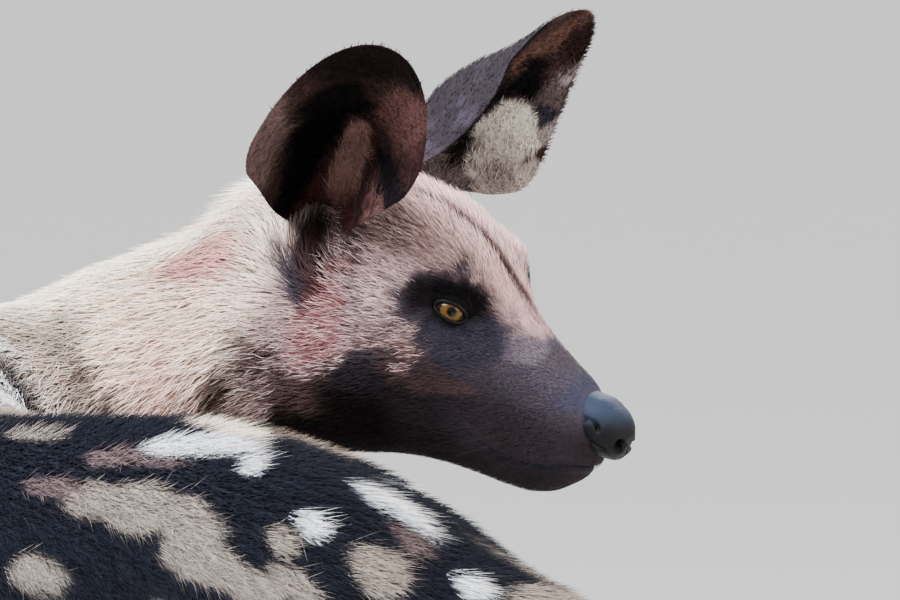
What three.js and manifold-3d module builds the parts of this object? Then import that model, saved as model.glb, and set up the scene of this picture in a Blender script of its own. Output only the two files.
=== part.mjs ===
// A standing African wild dog, life size, that looks back over its right flank.
// Millimetres, +Z up. +X is the way the hips face, +Y the animal's left.
import * as THREE from "three";
import { mergeVertices } from "three/addons/utils/BufferGeometryUtils.js";
import Module from "manifold-3d";

const wasm = await Module();
wasm.setup();

// Driving sizes
const GAP = 0.3; // left between pieces that meet
const HEAD_PITCH = 19.4; // degrees nose down
const HEAD_ROLL = 1.3;
const HEAD_HEADING = -159; // degrees from +X, to the right
const HEAD_HEIGHT = 706; // of the head's own origin, at the back of the skull on the line of the palate
const EYE = { x: 119.5, y: 35, z: 33, radius: 10.8 };
const NECK_ROOT = 600; // steps along the spine
const NECK_END = 910;

// A smooth curve through rows of [t, value, value...] that never overshoots a row
function curve(rows) {
  const slope = (i, k) => (rows[i + 1][k] - rows[i][k]) / (rows[i + 1][0] - rows[i][0]);
  const tangent = (i, k) => {
    if (i === 0) return slope(0, k);
    if (i === rows.length - 1) return slope(i - 1, k);
    const before = slope(i - 1, k);
    const after = slope(i, k);
    return before * after > 0 ? (2 * before * after) / (before + after) : 0;
  };
  return (t) => {
    let i = 0;
    while (i < rows.length - 2 && t > rows[i + 1][0]) i++;
    const width = rows[i + 1][0] - rows[i][0];
    const u = Math.min(1, Math.max(0, (t - rows[i][0]) / width));
    const ease = u * u * (3 - 2 * u);
    return rows[i]
      .slice(1)
      .map(
        (value, n) =>
          value * (1 - ease) +
          rows[i + 1][n + 1] * ease +
          width * u * (1 - u) * ((1 - u) * tangent(i, n + 1) - u * tangent(i + 1, n + 1)),
      );
  };
}

const radians = THREE.MathUtils.degToRad;
const smoothstep = THREE.MathUtils.smoothstep;
const vector = (x, y, z) => new THREE.Vector3(x, y, z);

function solidOf(geometry) {
  const bare = geometry.clone();
  bare.deleteAttribute("normal");
  bare.deleteAttribute("uv");
  const merged = mergeVertices(bare, 1e-3);
  const mesh = new wasm.Mesh({
    numProp: 3,
    vertProperties: merged.attributes.position.array,
    triVerts: new Uint32Array(merged.index.array),
  });
  return new wasm.Manifold(mesh);
}

// Rings of points, joined side by side and closed by a fan to the middle of each end
function skinOver(rings) {
  const sides = rings[0].length;
  const middle = (ring) => ring.reduce((sum, p) => sum.add(p), vector(0, 0, 0)).divideScalar(sides);
  const points = [...rings.flat(), middle(rings[0]), middle(rings.at(-1))];
  const first = points.length - 2;
  const faces = [];
  for (let k = 0; k < sides; k++) {
    const next = (k + 1) % sides;
    for (let i = 0; i + 1 < rings.length; i++) {
      const [a, b] = [i * sides + k, i * sides + next];
      faces.push(a, b, a + sides, b, b + sides, a + sides);
    }
    const last = (rings.length - 1) * sides;
    faces.push(first, next, k, first + 1, last + k, last + next);
  }
  const geometry = new THREE.BufferGeometry().setFromPoints(points).setIndex(faces);
  const solid = solidOf(geometry);
  if (solid.volume() > 0) return solid;
  for (let i = 0; i < faces.length; i += 3) [faces[i], faces[i + 1]] = [faces[i + 1], faces[i]];
  return solidOf(new THREE.BufferGeometry().setFromPoints(points).setIndex(faces));
}

// A cross-section as [across, up]: two half ovals that meet at its widest level
function section([half, level, top, bottom, upper, lower], sides, grow = 0) {
  return Array.from({ length: sides }, (_, k) => {
    const angle = (2 * Math.PI * (k + 0.5)) / sides;
    const [c, s] = [Math.cos(angle), Math.sin(angle)];
    const power = 2 / (s >= 0 ? upper : lower);
    const reach = (s >= 0 ? top - level : level - bottom) + grow;
    const across = (half + grow) * Math.sign(c) * Math.abs(c) ** power;
    return [across, level + reach * Math.sign(s) * Math.abs(s) ** power];
  });
}

const steps = (from, to, count) =>
  Array.from({ length: count + 1 }, (_, i) => from + ((to - from) * i) / count);

function largest(solid) {
  return solid.decompose().reduce((best, piece) => (piece.volume() > best.volume() ? piece : best));
}

// The spine, seen from above, as a walk: distance from the buttocks and heading in degrees
const headingAt = curve([
  [0, 9],
  [110, 8],
  [190, 5],
  [290, -1],
  [370, -8],
  [450, -17],
  [530, -28],
  [590, -40],
  [650, -55],
  [710, -72],
  [770, -90],
  [830, -107],
  [880, -121],
  [960, -138],
]);
const WALK_STEP = 5;
const walk = [vector(0, 0, 0)];
for (let s = 0; s < 1050; s += WALK_STEP) {
  const angle = radians(headingAt(s + WALK_STEP / 2)[0]);
  const step = vector(Math.cos(angle), Math.sin(angle), 0).multiplyScalar(WALK_STEP);
  walk.push(walk.at(-1).clone().add(step));
}

// Where the spine is after a distance, with the ways forward and left there
function onSpine(s) {
  const i = Math.min(walk.length - 2, Math.max(0, Math.floor(s / WALK_STEP)));
  const angle = radians(headingAt(s)[0]);
  const forward = vector(Math.cos(angle), Math.sin(angle), 0);
  const at = walk[i].clone().addScaledVector(forward, s - i * WALK_STEP);
  return { at, forward, left: vector(-forward.y, forward.x, 0) };
}

// A trunk along the spine from rows of [distance, half width, widest level, top, bottom, upper, lower]
function trunk(rows, sides, count, grow = 0) {
  const shape = curve(rows);
  const ends = [rows[0][0], rows.at(-1)[0]];
  return skinOver(
    steps(...ends, count).map((s) => {
      const stretched = s + (grow * (2 * s - ends[0] - ends[1])) / (ends[1] - ends[0]);
      const { at, left } = onSpine(stretched);
      return section(shape(s), sides, grow).map(([across, up]) =>
        at.clone().addScaledVector(left, across).setZ(up),
      );
    }),
  );
}

const TORSO_ROWS = [
  [-14, 10, 550, 566, 532, 2, 2],
  [-6, 30, 548, 580, 498, 2, 2],
  [20, 46, 548, 592, 472, 2, 2],
  [60, 58, 556, 609, 456, 2.1, 2],
  [110, 66, 566, 634, 454, 2.2, 2],
  [170, 69, 578, 655, 464, 2.2, 2],
  [250, 66, 582, 667, 480, 2.2, 2],
  [330, 73, 570, 664, 462, 2.1, 1.9],
  [410, 85, 556, 660, 424, 2.1, 1.9],
  [490, 88, 552, 664, 398, 2, 1.85],
  [570, 80, 562, 676, 388, 1.9, 1.85],
  [620, 71, 560, 676, 394, 2, 2],
  [662, 60, 545, 655, 412, 2, 2],
  [690, 41, 530, 615, 440, 2, 2],
  [705, 14, 522, 558, 488, 2, 2],
];
const NECK_ROWS = [
  [NECK_ROOT, 50, 590, 668, 480, 2, 2],
  [650, 64, 600, 685, 470, 2, 2],
  [700, 65, 610, 696, 500, 2, 2],
  [760, 62, 626, 706, 540, 2, 2],
  [830, 60, 655, 730, 578, 2, 2],
  [NECK_END, 59, 686, 756, 610, 2, 2],
  [950, 48, 690, 745, 640, 2, 2],
];

// The head in its own frame: +X to the nose, +Y left, +Z up, from the back of the skull on the palate's line
const headJoint = onSpine(NECK_END);
const headFrame = new THREE.Matrix4()
  .makeRotationZ(radians(HEAD_HEADING))
  .multiply(new THREE.Matrix4().makeRotationY(radians(HEAD_PITCH)))
  .multiply(new THREE.Matrix4().makeRotationX(radians(HEAD_ROLL)))
  .setPosition(headJoint.at.clone().setZ(HEAD_HEIGHT));

const HEAD_ROWS = [
  [-38, 30, -10, 30, -60, 2, 2],
  [-30, 48, -8, 52, -76, 2, 2],
  [-5, 60, -6, 68, -84, 2, 2],
  [30, 66, 0, 80, -84, 2.1, 2],
  [60, 69, 4, 85, -78, 2.2, 2],
  [85, 68, 8, 82, -70, 2.4, 1.95],
  [105, 62, 10, 74, -63, 2.7, 1.95],
  [122, 53, 6, 65, -59, 2.8, 1.95],
  [137, 43, 2, 54, -57, 2.6, 2],
  [152, 36, -4, 42, -56, 2.4, 2.1],
  [168, 31, -8, 33, -55.5, 2.3, 2.2],
  [184, 27.5, -10, 25, -54, 2.3, 2.3],
  [198, 24.5, -12, 18, -49, 2.3, 2.3],
  [208, 20, -14, 10.5, -41, 2.2, 2.2],
  [215, 14, -15, 2, -33, 2, 2],
  [219, 6, -16, -9, -24, 2, 2],
];

// Swellings and hollows of the head: place on the right and left sides, size and height
const HEAD_FORMS = [
  { name: "brow", at: [124, 34, 56], size: 16, rise: 6 },
  { name: "socket in front of the eye", at: [140, 33, 34], size: 13, rise: -4 },
  { name: "eye hollow", at: [119, 46, 32], size: 15, rise: -5 },
  { name: "cheekbone", at: [102, 56, 6], size: 24, rise: 5 },
  { name: "temple", at: [88, 52, 58], size: 20, rise: -5 },
  { name: "flank of the muzzle", at: [166, 31, 8], size: 20, rise: -3 },
  { name: "whisker pad", at: [192, 26, -16], size: 16, rise: 3.5 },
  { name: "lip above the chin", at: [160, 32, -34], size: 14, rise: 2.5 },
];

function headShape(sides, count, grow = 0) {
  const shape = curve(HEAD_ROWS);
  const [from, to] = [HEAD_ROWS[0][0], HEAD_ROWS.at(-1)[0]];
  // Closer rings from the eyes to the nose
  const rings = steps(0, 1, count).map((u) => from + (to - from) * u ** 0.85);
  return skinOver(
    rings.map((x) => {
      const stretched = x + (grow * (2 * x - from - to)) / (to - from);
      return section(shape(x), sides, grow).map(([across, up]) => {
        const point = vector(stretched, across, up);
        const out = vector(0, across, up - shape(x)[1]).normalize();
        for (const form of HEAD_FORMS) {
          const away = vector(x, Math.abs(across), up).distanceTo(vector(...form.at));
          point.addScaledVector(out, form.rise * Math.exp(-((away / form.size) ** 2)));
        }
        return point;
      });
    }),
  );
}

const ball = (radii, at, width = 12, height = 8) =>
  solidOf(new THREE.SphereGeometry(1, width, height).scale(...radii).translate(...at));

// The almond between the lids, as a prism that points out of the socket
const EYE_OUT = { turn: 58, lift: 6 }; // degrees from straight ahead, and up
function lidOpening(side) {
  const [half, tall, low] = [9.6, 5.4, 4.8];
  const outline = new THREE.Shape();
  outline.moveTo(-half, 0.5);
  outline.quadraticCurveTo(-2, tall * 2, half, -2);
  outline.quadraticCurveTo(0, -low * 1.9, -half, 0.5);
  const prism = new THREE.ExtrudeGeometry(outline, { depth: 20, bevelEnabled: false, curveSegments: 7 });
  if (side < 0) prism.rotateY(Math.PI).translate(0, 0, 20);
  return solidOf(prism.applyMatrix4(eyeFrame(side)));
}

// Looks out along its own +Z, with +X towards the nose on the left side
function eyeFrame(side) {
  const turn = side * radians(EYE_OUT.turn);
  const out = vector(Math.cos(turn), Math.sin(turn), Math.sin(radians(EYE_OUT.lift))).normalize();
  const along = vector(0, 0, 1).cross(out).normalize().negate();
  const up = out.clone().cross(along);
  return new THREE.Matrix4().makeBasis(along, up, out).setPosition(EYE.x, side * EYE.y, EYE.z);
}

const NOSE_ROWS = [
  [196, 10, 1, 11, -6, 2, 2],
  [204, 14.5, 0, 13.5, -11, 2.3, 2],
  [213, 17, -3, 13.5, -16.5, 2.5, 2],
  [222, 16.5, -5, 10.5, -19.5, 2.4, 2.1],
  [229, 13, -6.5, 6, -18.5, 2.2, 2.2],
  [233.5, 6.5, -7.5, -1, -13.5, 2, 2],
];
function noseShape(grow = 0) {
  const shape = curve(NOSE_ROWS);
  return skinOver(
    steps(196, 233.5, 8).map((x) =>
      section(shape(x), 14, grow).map(([across, up]) => vector(x + (x > 222 ? grow : -grow), across, up)),
    ),
  );
}

function nostril(side) {
  const pit = new THREE.SphereGeometry(1, 8, 6).scale(8, 3.4, 4);
  pit.rotateZ(side * radians(38)).translate(229.5, side * 7.2, -6.5);
  const slit = new THREE.SphereGeometry(1, 8, 4).scale(8, 5, 1.4);
  slit.rotateZ(side * radians(-14)).rotateY(radians(-22)).translate(220, side * 16.5, -3.5);
  return solidOf(pit).add(solidOf(slit));
}

// The line of the mouth from the lip under the nose to its corner, seen from the side
const MOUTH_LINE = [
  [232, -27],
  [210, -29],
  [193, -34],
  [172, -36],
  [152, -31],
  [135, -22],
];
function mouthCut() {
  const thick = 0.8;
  const middle = new THREE.SplineCurve(MOUTH_LINE.map(([x, z]) => new THREE.Vector2(x, z))).getPoints(14);
  const above = middle.map((p) => new THREE.Vector2(p.x, p.y + thick));
  const below = middle.map((p) => new THREE.Vector2(p.x, p.y - thick)).reverse();
  const strip = new THREE.ExtrudeGeometry(new THREE.Shape([...above, ...below]), {
    depth: 120,
    bevelEnabled: false,
  });
  strip.rotateX(Math.PI / 2).translate(0, 60, 0);
  return solidOf(strip).subtract(headShape(28, 24, -3.5));
}

function headNode() {
  let head = headShape(28, 33);
  for (const side of [1, -1]) {
    const { x, y, z, radius } = EYE;
    head = head.add(ball([12.9, 12.9, 12.4], [x, side * y, z], 16, 10));
    head = head.subtract(ball([radius + GAP, radius + GAP, radius + GAP], [x, side * y, z], 16, 10));
    head = head.subtract(lidOpening(side));
  }
  return largest(head.subtract(mouthCut()).subtract(noseShape(GAP)));
}

function noseNode() {
  return largest(noseShape().subtract(nostril(1)).subtract(nostril(-1)));
}

// An ear is a round dish on a stalk: its own frame has +Y up the ear, +X across and +Z out of the cup
const EAR = { half: 47, cup: 30, dish: 33, blade: 8, thick: 3.6, rim: 2.2, sink: 24 };
function earShape({ twist, length, slant, foot, taper }) {
  const [rings, sides] = [7, 24];
  const surface = (ring, k, back) => {
    const angle = (2 * Math.PI * k) / sides;
    const share = ring / rings;
    // The outline is widest above the middle and narrows to the root, more so on its front edge
    const height = 0.5 + 0.5 * share * Math.sin(angle);
    const side = Math.cos(angle);
    const low = 1 - smoothstep(height, 0.25, 0.62);
    const top = smoothstep(height, 0.6, 1);
    const oval = EAR.half * (0.46 + 0.54 * Math.min(1, height / 0.45) ** 0.8);
    const width = oval * (1 - taper * top) * (1 - foot[side < 0 ? 0 : 1] * Math.abs(side) * low);
    const across = share * side * width;
    const up = length * height - 12 + slant * across;
    const curl = EAR.cup * (1.15 - 0.75 * height) * (across / EAR.half) ** 2;
    const deep = EAR.dish - (EAR.dish - EAR.blade) * smoothstep(height, 0.42, 0.76);
    const dish = -deep * (1 - share ** 2);
    const wall = back ? EAR.thick + (EAR.rim - EAR.thick) * share : 0;
    const sunk = EAR.sink * Math.max(0, 1 - height / 0.38) ** 2;
    const turned = twist * across * Math.max(0, 1 - height / 0.55);
    return vector(across, up, curl + dish - wall - sunk + turned);
  };
  const points = [];
  for (const back of [false, true])
    for (let ring = 1; ring <= rings; ring++)
      for (let k = 0; k < sides; k++) points.push(surface(ring, k, back));
  points.push(surface(0, 0, false), surface(0, 0, true));
  const [inner, outer] = [points.length - 2, points.length - 1];
  const at = (back, ring, k) => (back ? rings * sides : 0) + (ring - 1) * sides + (k % sides);
  const faces = [];
  for (let k = 0; k < sides; k++) {
    faces.push(inner, at(0, 1, k), at(0, 1, k + 1), outer, at(1, 1, k + 1), at(1, 1, k));
    for (let ring = 1; ring < rings; ring++) {
      const [a, b] = [at(0, ring, k), at(0, ring, k + 1)];
      const [c, d] = [at(0, ring + 1, k), at(0, ring + 1, k + 1)];
      faces.push(a, c, b, b, c, d);
      const shift = rings * sides;
      faces.push(a + shift, b + shift, c + shift, b + shift, d + shift, c + shift);
    }
    const [a, b] = [at(0, rings, k), at(0, rings, k + 1)];
    const shift = rings * sides;
    faces.push(a, a + shift, b, b, a + shift, b + shift);
  }
  return new THREE.BufferGeometry().setFromPoints(points).setIndex(faces);
}

// Each ear's root on the skull, the way it stands, the way its cup faces and how its foot twists. Slant
// skews its outline, foot narrows its two edges low down and taper narrows its top
const EARS = {
  ear_left: {
    root: [30, 40, 60],
    up: [0.37, 0.5, 0.84],
    facing: [1, -0.3, -0.1],
    shape: { twist: -0.9, length: 168, slant: -0.38, foot: [0, 0.32], taper: 0.27 },
  },
  ear_right: {
    root: [31, -56, 42],
    up: [0.25, -0.44, 0.86],
    facing: [0.42, -0.9, 0.1],
    shape: { twist: 0.25, length: 167, slant: 0.3, foot: [0.2, 0.2], taper: 0 },
  },
};
function earNode({ root, up, facing, shape }) {
  const rise = vector(...up).normalize();
  const across = rise.clone().cross(vector(...facing)).normalize();
  const out = across.clone().cross(rise);
  const frame = new THREE.Matrix4().makeBasis(across, rise, out).setPosition(...root);
  return largest(solidOf(earShape(shape).applyMatrix4(frame)).subtract(headShape(28, 33, GAP)));
}

// A limb's rows: height, place forward, place outward, half length and half width of a level slice
const FORE_ROWS = [
  [14, -6, 0, 20, 19],
  [32, -12, 0, 18, 17.5],
  [60, -17, 0, 15.5, 14],
  [95, -15, 0, 15, 13.5],
  [130, -9, 0, 19, 17.5],
  [160, -8, 1, 17, 15],
  [230, -8, 4, 19, 16],
  [300, -9, 8, 25, 21],
  [350, -14, 11, 35, 26],
  [388, -18, 12, 48, 30],
  [430, -6, 10, 58, 34],
  [480, 8, 6, 66, 36],
  [530, 8, -2, 64, 34],
  [575, 2, -10, 52, 28],
  [615, -6, -20, 34, 18],
  [640, -12, -26, 12, 7],
];
const HIND_ROWS = [
  [14, 4, 0, 18, 17],
  [32, -2, 0, 17, 16],
  [70, -8, 0, 14, 12.5],
  [120, -13, 1, 14, 12.5],
  [158, -18, 2, 19, 14],
  [180, -20, 2, 26, 16],
  [205, -12, 3, 24, 15.5],
  [245, 12, 5, 25, 18],
  [290, 40, 8, 34, 24],
  [335, 62, 10, 48, 31],
  [375, 68, 9, 63, 36],
  [420, 58, 4, 73, 40],
  [465, 48, -3, 76, 40],
  [510, 40, -9, 70, 36],
  [550, 40, -15, 56, 29],
  [582, 44, -22, 32, 18],
  [600, 48, -26, 11, 7],
];
const PAW_FRONT = { toe: [21, 10.5, 13], inner: [27, 10], outer: [11, 23.5], palm: [36, 27, 21] };
const PAW_HIND = { toe: [20, 9.5, 12], inner: [27, 9], outer: [12, 21], palm: [34, 24, 20] };
const FLOOR_CUT = 3; // how far the pads would reach below the floor before they are cut flat

function claw(x, y) {
  const horn = new THREE.ConeGeometry(3.4, 17, 5).rotateZ(radians(-118));
  return solidOf(horn.translate(x + 4, y, 8.5));
}

function paw(kind) {
  const [length, half, height] = kind.palm;
  let foot = ball([length, half, height], [-8, 0, height - FLOOR_CUT], 10, 6);
  for (const [place, side] of [
    [kind.inner, 1],
    [kind.inner, -1],
    [kind.outer, 1],
    [kind.outer, -1],
  ]) {
    const [x, y] = [place[0], side * place[1]];
    foot = foot.add(ball(kind.toe, [x, y, kind.toe[2] - FLOOR_CUT], 8, 5));
    foot = foot.add(claw(x + kind.toe[0] - 2, y));
  }
  return foot;
}

// Each leg stands on the spine's station, to one side, with its own heading
const LEGS = {
  leg_front_left: { along: 600, side: 1, out: 64, turn: -27, forward: -8, rows: FORE_ROWS, kind: PAW_FRONT },
  leg_front_right: { along: 600, side: -1, out: 64, turn: -36, forward: 14, rows: FORE_ROWS, kind: PAW_FRONT },
  leg_hind_left: { along: 72, side: 1, out: 60, turn: 6, forward: -26, rows: HIND_ROWS, kind: PAW_HIND },
  leg_hind_right: { along: 72, side: -1, out: 60, turn: 4, forward: 8, rows: HIND_ROWS, kind: PAW_HIND },
};
const LEAN_TOP = 480; // a foot set forward or back is reached by a lean below this height

function legNode({ along, side, out, turn, forward, rows, kind }) {
  const station = onSpine(along);
  const way = radians(turn);
  const ahead = vector(Math.cos(way), Math.sin(way), 0);
  const outward = vector(-ahead.y, ahead.x, 0).multiplyScalar(side);
  const root = station.at.clone().addScaledVector(station.left, side * out);
  const shape = curve(rows);
  const sides = 12;
  const rings = steps(rows[0][0], rows.at(-1)[0], 21).map((z) => {
    const [x, y, half, wide] = shape(z);
    const lean = forward * Math.max(0, 1 - z / LEAN_TOP);
    const middle = root.clone().addScaledVector(ahead, x + lean).addScaledVector(outward, y).setZ(z);
    return Array.from({ length: sides }, (_, k) => {
      const angle = (2 * Math.PI * k) / sides;
      return middle
        .clone()
        .addScaledVector(ahead, half * Math.cos(angle))
        .addScaledVector(outward, wide * Math.sin(angle));
    });
  });
  const footAt = root.clone().addScaledVector(ahead, rows[0][1] + forward + 8);
  const frame = new THREE.Matrix4().makeRotationZ(way).setPosition(footAt.x, footAt.y, 0);
  const toFoot = paw(kind).transform(frame.elements);
  const below = solidOf(new THREE.BoxGeometry(2000, 2000, 100).translate(500, 0, -50));
  const leg = skinOver(rings).add(toFoot).subtract(below);
  return largest(leg.subtract(trunk(TORSO_ROWS, 26, 24, GAP)));
}

// The tail hangs behind the hips, in the plane of their heading
const TAIL_PATH = [
  [30, 568],
  [-12, 558],
  [-48, 524],
  [-70, 466],
  [-80, 400],
  [-84, 332],
  [-82, 270],
  [-74, 222],
];
const TAIL_RADII = [
  [0, 24],
  [0.12, 20],
  [0.28, 16],
  [0.42, 17],
  [0.6, 21],
  [0.8, 20],
  [0.93, 13],
  [1, 3],
];
// The brush: rows of locks down the tail, each row turned by half a step from the one above
const BRUSH = { from: 0.3, to: 0.93, rows: 6, around: 6, length: 88, wide: 17, thick: 6, spread: 0.36 };

// A lock of hair: flat, tapered, sunk at its root, that leaves outwards and bends to the way of the tail
function lock({ root, along, out, length, wide, thick, spread }) {
  const side = along.clone().cross(out).normalize();
  const taper = curve([
    [0, 0.55],
    [0.3, 1],
    [0.7, 0.75],
    [1, 0.12],
  ]);
  const rings = steps(0, 1, 4).map((t) => {
    const lift = length * spread * Math.sin((t * Math.PI) / 2) * (1 - 0.35 * t);
    const middle = root.clone().addScaledVector(along, length * t).addScaledVector(out, lift);
    const size = taper(t)[0];
    return [
      middle.clone().addScaledVector(side, size * wide * 0.5),
      middle.clone().addScaledVector(out, size * thick * 0.5),
      middle.clone().addScaledVector(side, -size * wide * 0.5),
      middle.clone().addScaledVector(out, -size * thick * 0.5),
    ];
  });
  return skinOver(rings);
}

// Repeatable scatter between 0 and 1
function scatter(seed) {
  let state = seed;
  return () => {
    state = (state * 16807) % 2147483647;
    return state / 2147483647;
  };
}

function tailNode() {
  const { forward, left } = onSpine(0);
  const path = new THREE.CatmullRomCurve3(
    TAIL_PATH.map(([x, z]) => forward.clone().multiplyScalar(x).setZ(z)),
  );
  const thickness = curve(TAIL_RADII);
  const frameAt = (t) => {
    const along = path.getTangentAt(t);
    return { at: path.getPointAt(t), along, normal: along.clone().cross(left) };
  };
  const rings = steps(0, 1, 18).map((t) => {
    const [radius] = thickness(t);
    const { at, normal } = frameAt(t);
    return Array.from({ length: 12 }, (_, k) => {
      const angle = (2 * Math.PI * k) / 12;
      return at
        .clone()
        .addScaledVector(left, radius * Math.cos(angle))
        .addScaledVector(normal, radius * Math.sin(angle));
    });
  });
  let tail = skinOver(rings);
  const random = scatter(271);
  for (let row = 0; row < BRUSH.rows; row++)
    for (let k = 0; k < BRUSH.around; k++) {
      const t = BRUSH.from + ((BRUSH.to - BRUSH.from) * (row + 0.5 * random())) / BRUSH.rows;
      const angle = (2 * Math.PI * (k + 0.5 * (row % 2) + 0.25 * random())) / BRUSH.around;
      const { at, along, normal } = frameAt(t);
      const out = left.clone().multiplyScalar(Math.cos(angle)).addScaledVector(normal, Math.sin(angle));
      const root = at.addScaledVector(out, 0.55 * thickness(t)[0]);
      const grown = 0.7 + 0.3 * Math.sin(Math.PI * Math.min(1, (t - 0.2) / 0.6)) + 0.15 * (random() - 0.5);
      tail = tail.add(lock({ ...BRUSH, root, along, out, length: BRUSH.length * grown }));
    }
  return largest(tail.subtract(trunk(TORSO_ROWS, 26, 24, GAP)));
}

// Colours and finishes
const coat = new THREE.MeshStandardMaterial({ color: 0x5a4a3c, roughness: 0.9 });
const paleNeck = new THREE.MeshStandardMaterial({ color: 0xc9b49c, roughness: 0.9 });
const faceCoat = new THREE.MeshStandardMaterial({ color: 0x6d5a54, roughness: 0.85 });
const earCoat = new THREE.MeshStandardMaterial({ color: 0x3a2c2a, roughness: 0.9 });
const noseSkin = new THREE.MeshStandardMaterial({ color: 0x1c1e23, roughness: 0.45 });
const eyeGloss = new THREE.MeshStandardMaterial({ color: 0x8a5a1e, roughness: 0.08 });
const whiteBrush = new THREE.MeshStandardMaterial({ color: 0xd8d4cc, roughness: 0.9 });

const dog = new THREE.Group();
function place(name, solid, material) {
  const { vertProperties, triVerts } = solid.getMesh();
  const geometry = new THREE.BufferGeometry()
    .setAttribute("position", new THREE.BufferAttribute(vertProperties, 3))
    .setIndex(new THREE.BufferAttribute(triVerts, 1));
  geometry.computeVertexNormals();
  const mesh = new THREE.Mesh(geometry, material);
  mesh.name = name;
  dog.add(mesh);
}

const inBody = (solid) => solid.transform(headFrame.elements);
const eyeBall = (side) => {
  const { x, y, z, radius } = EYE;
  return ball([radius, radius, radius], [x, side * y, z], 16, 10);
};
const grownHead = inBody(headShape(28, 33, GAP));
const grownNeck = trunk(NECK_ROWS, 24, 13, GAP);

place("head", inBody(headNode()), faceCoat);
place("nose", inBody(noseNode()), noseSkin);
place("eye_left", inBody(eyeBall(1)), eyeGloss);
place("eye_right", inBody(eyeBall(-1)), eyeGloss);
for (const [name, ear] of Object.entries(EARS)) place(name, inBody(earNode(ear)), earCoat);
place("neck", largest(trunk(NECK_ROWS, 24, 13).subtract(grownHead)), paleNeck);
place("torso", largest(trunk(TORSO_ROWS, 26, 24).subtract(grownNeck)), coat);
for (const [name, leg] of Object.entries(LEGS)) place(name, largest(legNode(leg).subtract(grownNeck)), coat);
place("tail", tailNode(), whiteBrush);

// The origin is the middle of the bounding box, on the floor
const box = new THREE.Box3().setFromObject(dog);
const middle = box.getCenter(vector(0, 0, 0));
dog.position.set(-middle.x, -middle.y, -box.min.z);

export default dog;
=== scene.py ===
# %% [markdown]
# # An African wild dog that looks back over its flank
# The solids of the animal come packed as a frame. This lesson dresses them: one skin over
# head, neck, trunk, legs and tail, then ears, eyes, nose and claws, and at last the coat.
# Sizes are in millimetres while the shapes are worked out, and in metres once they are meshes.

# %% The frame and the size box
import math

import bpy
import numpy as np
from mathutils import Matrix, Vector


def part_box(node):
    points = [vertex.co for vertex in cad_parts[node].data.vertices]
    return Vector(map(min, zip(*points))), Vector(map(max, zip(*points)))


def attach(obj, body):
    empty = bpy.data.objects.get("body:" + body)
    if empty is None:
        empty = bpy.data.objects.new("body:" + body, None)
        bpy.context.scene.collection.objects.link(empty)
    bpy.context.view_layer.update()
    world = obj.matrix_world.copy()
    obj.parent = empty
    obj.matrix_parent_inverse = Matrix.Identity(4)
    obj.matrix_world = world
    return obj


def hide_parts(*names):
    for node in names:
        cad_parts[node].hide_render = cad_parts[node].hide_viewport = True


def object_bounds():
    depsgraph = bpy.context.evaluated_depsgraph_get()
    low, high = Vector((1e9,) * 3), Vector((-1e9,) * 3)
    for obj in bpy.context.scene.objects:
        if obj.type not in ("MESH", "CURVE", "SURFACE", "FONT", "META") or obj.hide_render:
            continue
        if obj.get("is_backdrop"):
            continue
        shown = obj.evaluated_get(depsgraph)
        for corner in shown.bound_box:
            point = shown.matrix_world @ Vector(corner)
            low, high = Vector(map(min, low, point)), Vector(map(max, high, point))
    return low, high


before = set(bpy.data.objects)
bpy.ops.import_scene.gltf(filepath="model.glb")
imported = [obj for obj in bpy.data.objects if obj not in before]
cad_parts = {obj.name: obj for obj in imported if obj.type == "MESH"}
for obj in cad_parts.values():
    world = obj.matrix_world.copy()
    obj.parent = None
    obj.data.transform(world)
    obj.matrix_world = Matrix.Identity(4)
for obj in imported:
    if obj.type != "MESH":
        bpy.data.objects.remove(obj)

import openvdb as vdb
from mathutils import Vector

cad_box = [[float(v) for v in corner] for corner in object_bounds()]
print("solids reach from", cad_box[0], "to", cad_box[1])

# %% [markdown]
# ## Curves through named rows
# Every form is a row of sizes along an axis. A smooth curve runs through the rows and never
# overshoots them, so the skin passes exactly where the solids have their sections.


# %% A curve through rows of sizes
def curve(rows):
    rows = np.array(rows, float)
    t, value = rows[:, 0], rows[:, 1:]
    width = np.diff(t)
    slope = np.diff(value, axis=0) / width[:, None]
    before, after = slope[:-1], slope[1:]
    same_way = before * after > 0
    tangent = np.vstack([slope[:1], np.zeros_like(before), slope[-1:]])
    total = np.where(same_way, before + after, 1)
    tangent[1:-1] = np.where(same_way, 2 * before * after / total, 0)

    def at(x):
        x = np.asarray(x, float)
        i = np.clip(np.searchsorted(t, x) - 1, 0, len(width) - 1)
        u = np.clip((x - t[i]) / width[i], 0, 1)[..., None]
        ease = u * u * (3 - 2 * u)
        bend = (1 - u) * tangent[i] - u * tangent[i + 1]
        return value[i] * (1 - ease) + value[i + 1] * ease + width[i][..., None] * u * (1 - u) * bend

    return at


def unit(v):
    return v / np.maximum(np.linalg.norm(v, axis=-1, keepdims=True), 1e-9)


def stack(*parts):
    return np.stack(np.broadcast_arrays(*parts), -1)


def circle(angle):
    return stack(np.cos(angle), np.sin(angle))


# %% [markdown]
# ## The spine
# Seen from above the spine is a walk: at each distance from the buttocks it has a heading.
# Trunk and neck share this walk, so the neck grows out of the shoulders in one bend.

# %% The spine as a walk
WALK_STEP = 5.0
HEADINGS = [
    [0, 9], [110, 8], [190, 5], [290, -1], [370, -8], [450, -17], [530, -28],
    [590, -40], [650, -55], [710, -72], [770, -90], [830, -107], [880, -121], [960, -138],
]
heading_at = curve(HEADINGS)


def on_spine(s):
    s = np.asarray(s, float)
    i = np.clip((s // WALK_STEP).astype(int), 0, len(WALK) - 2)
    forward = circle(np.radians(heading_at(s)[..., 0]))
    return WALK[i] + forward * (s - i * WALK_STEP)[..., None], forward


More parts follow.
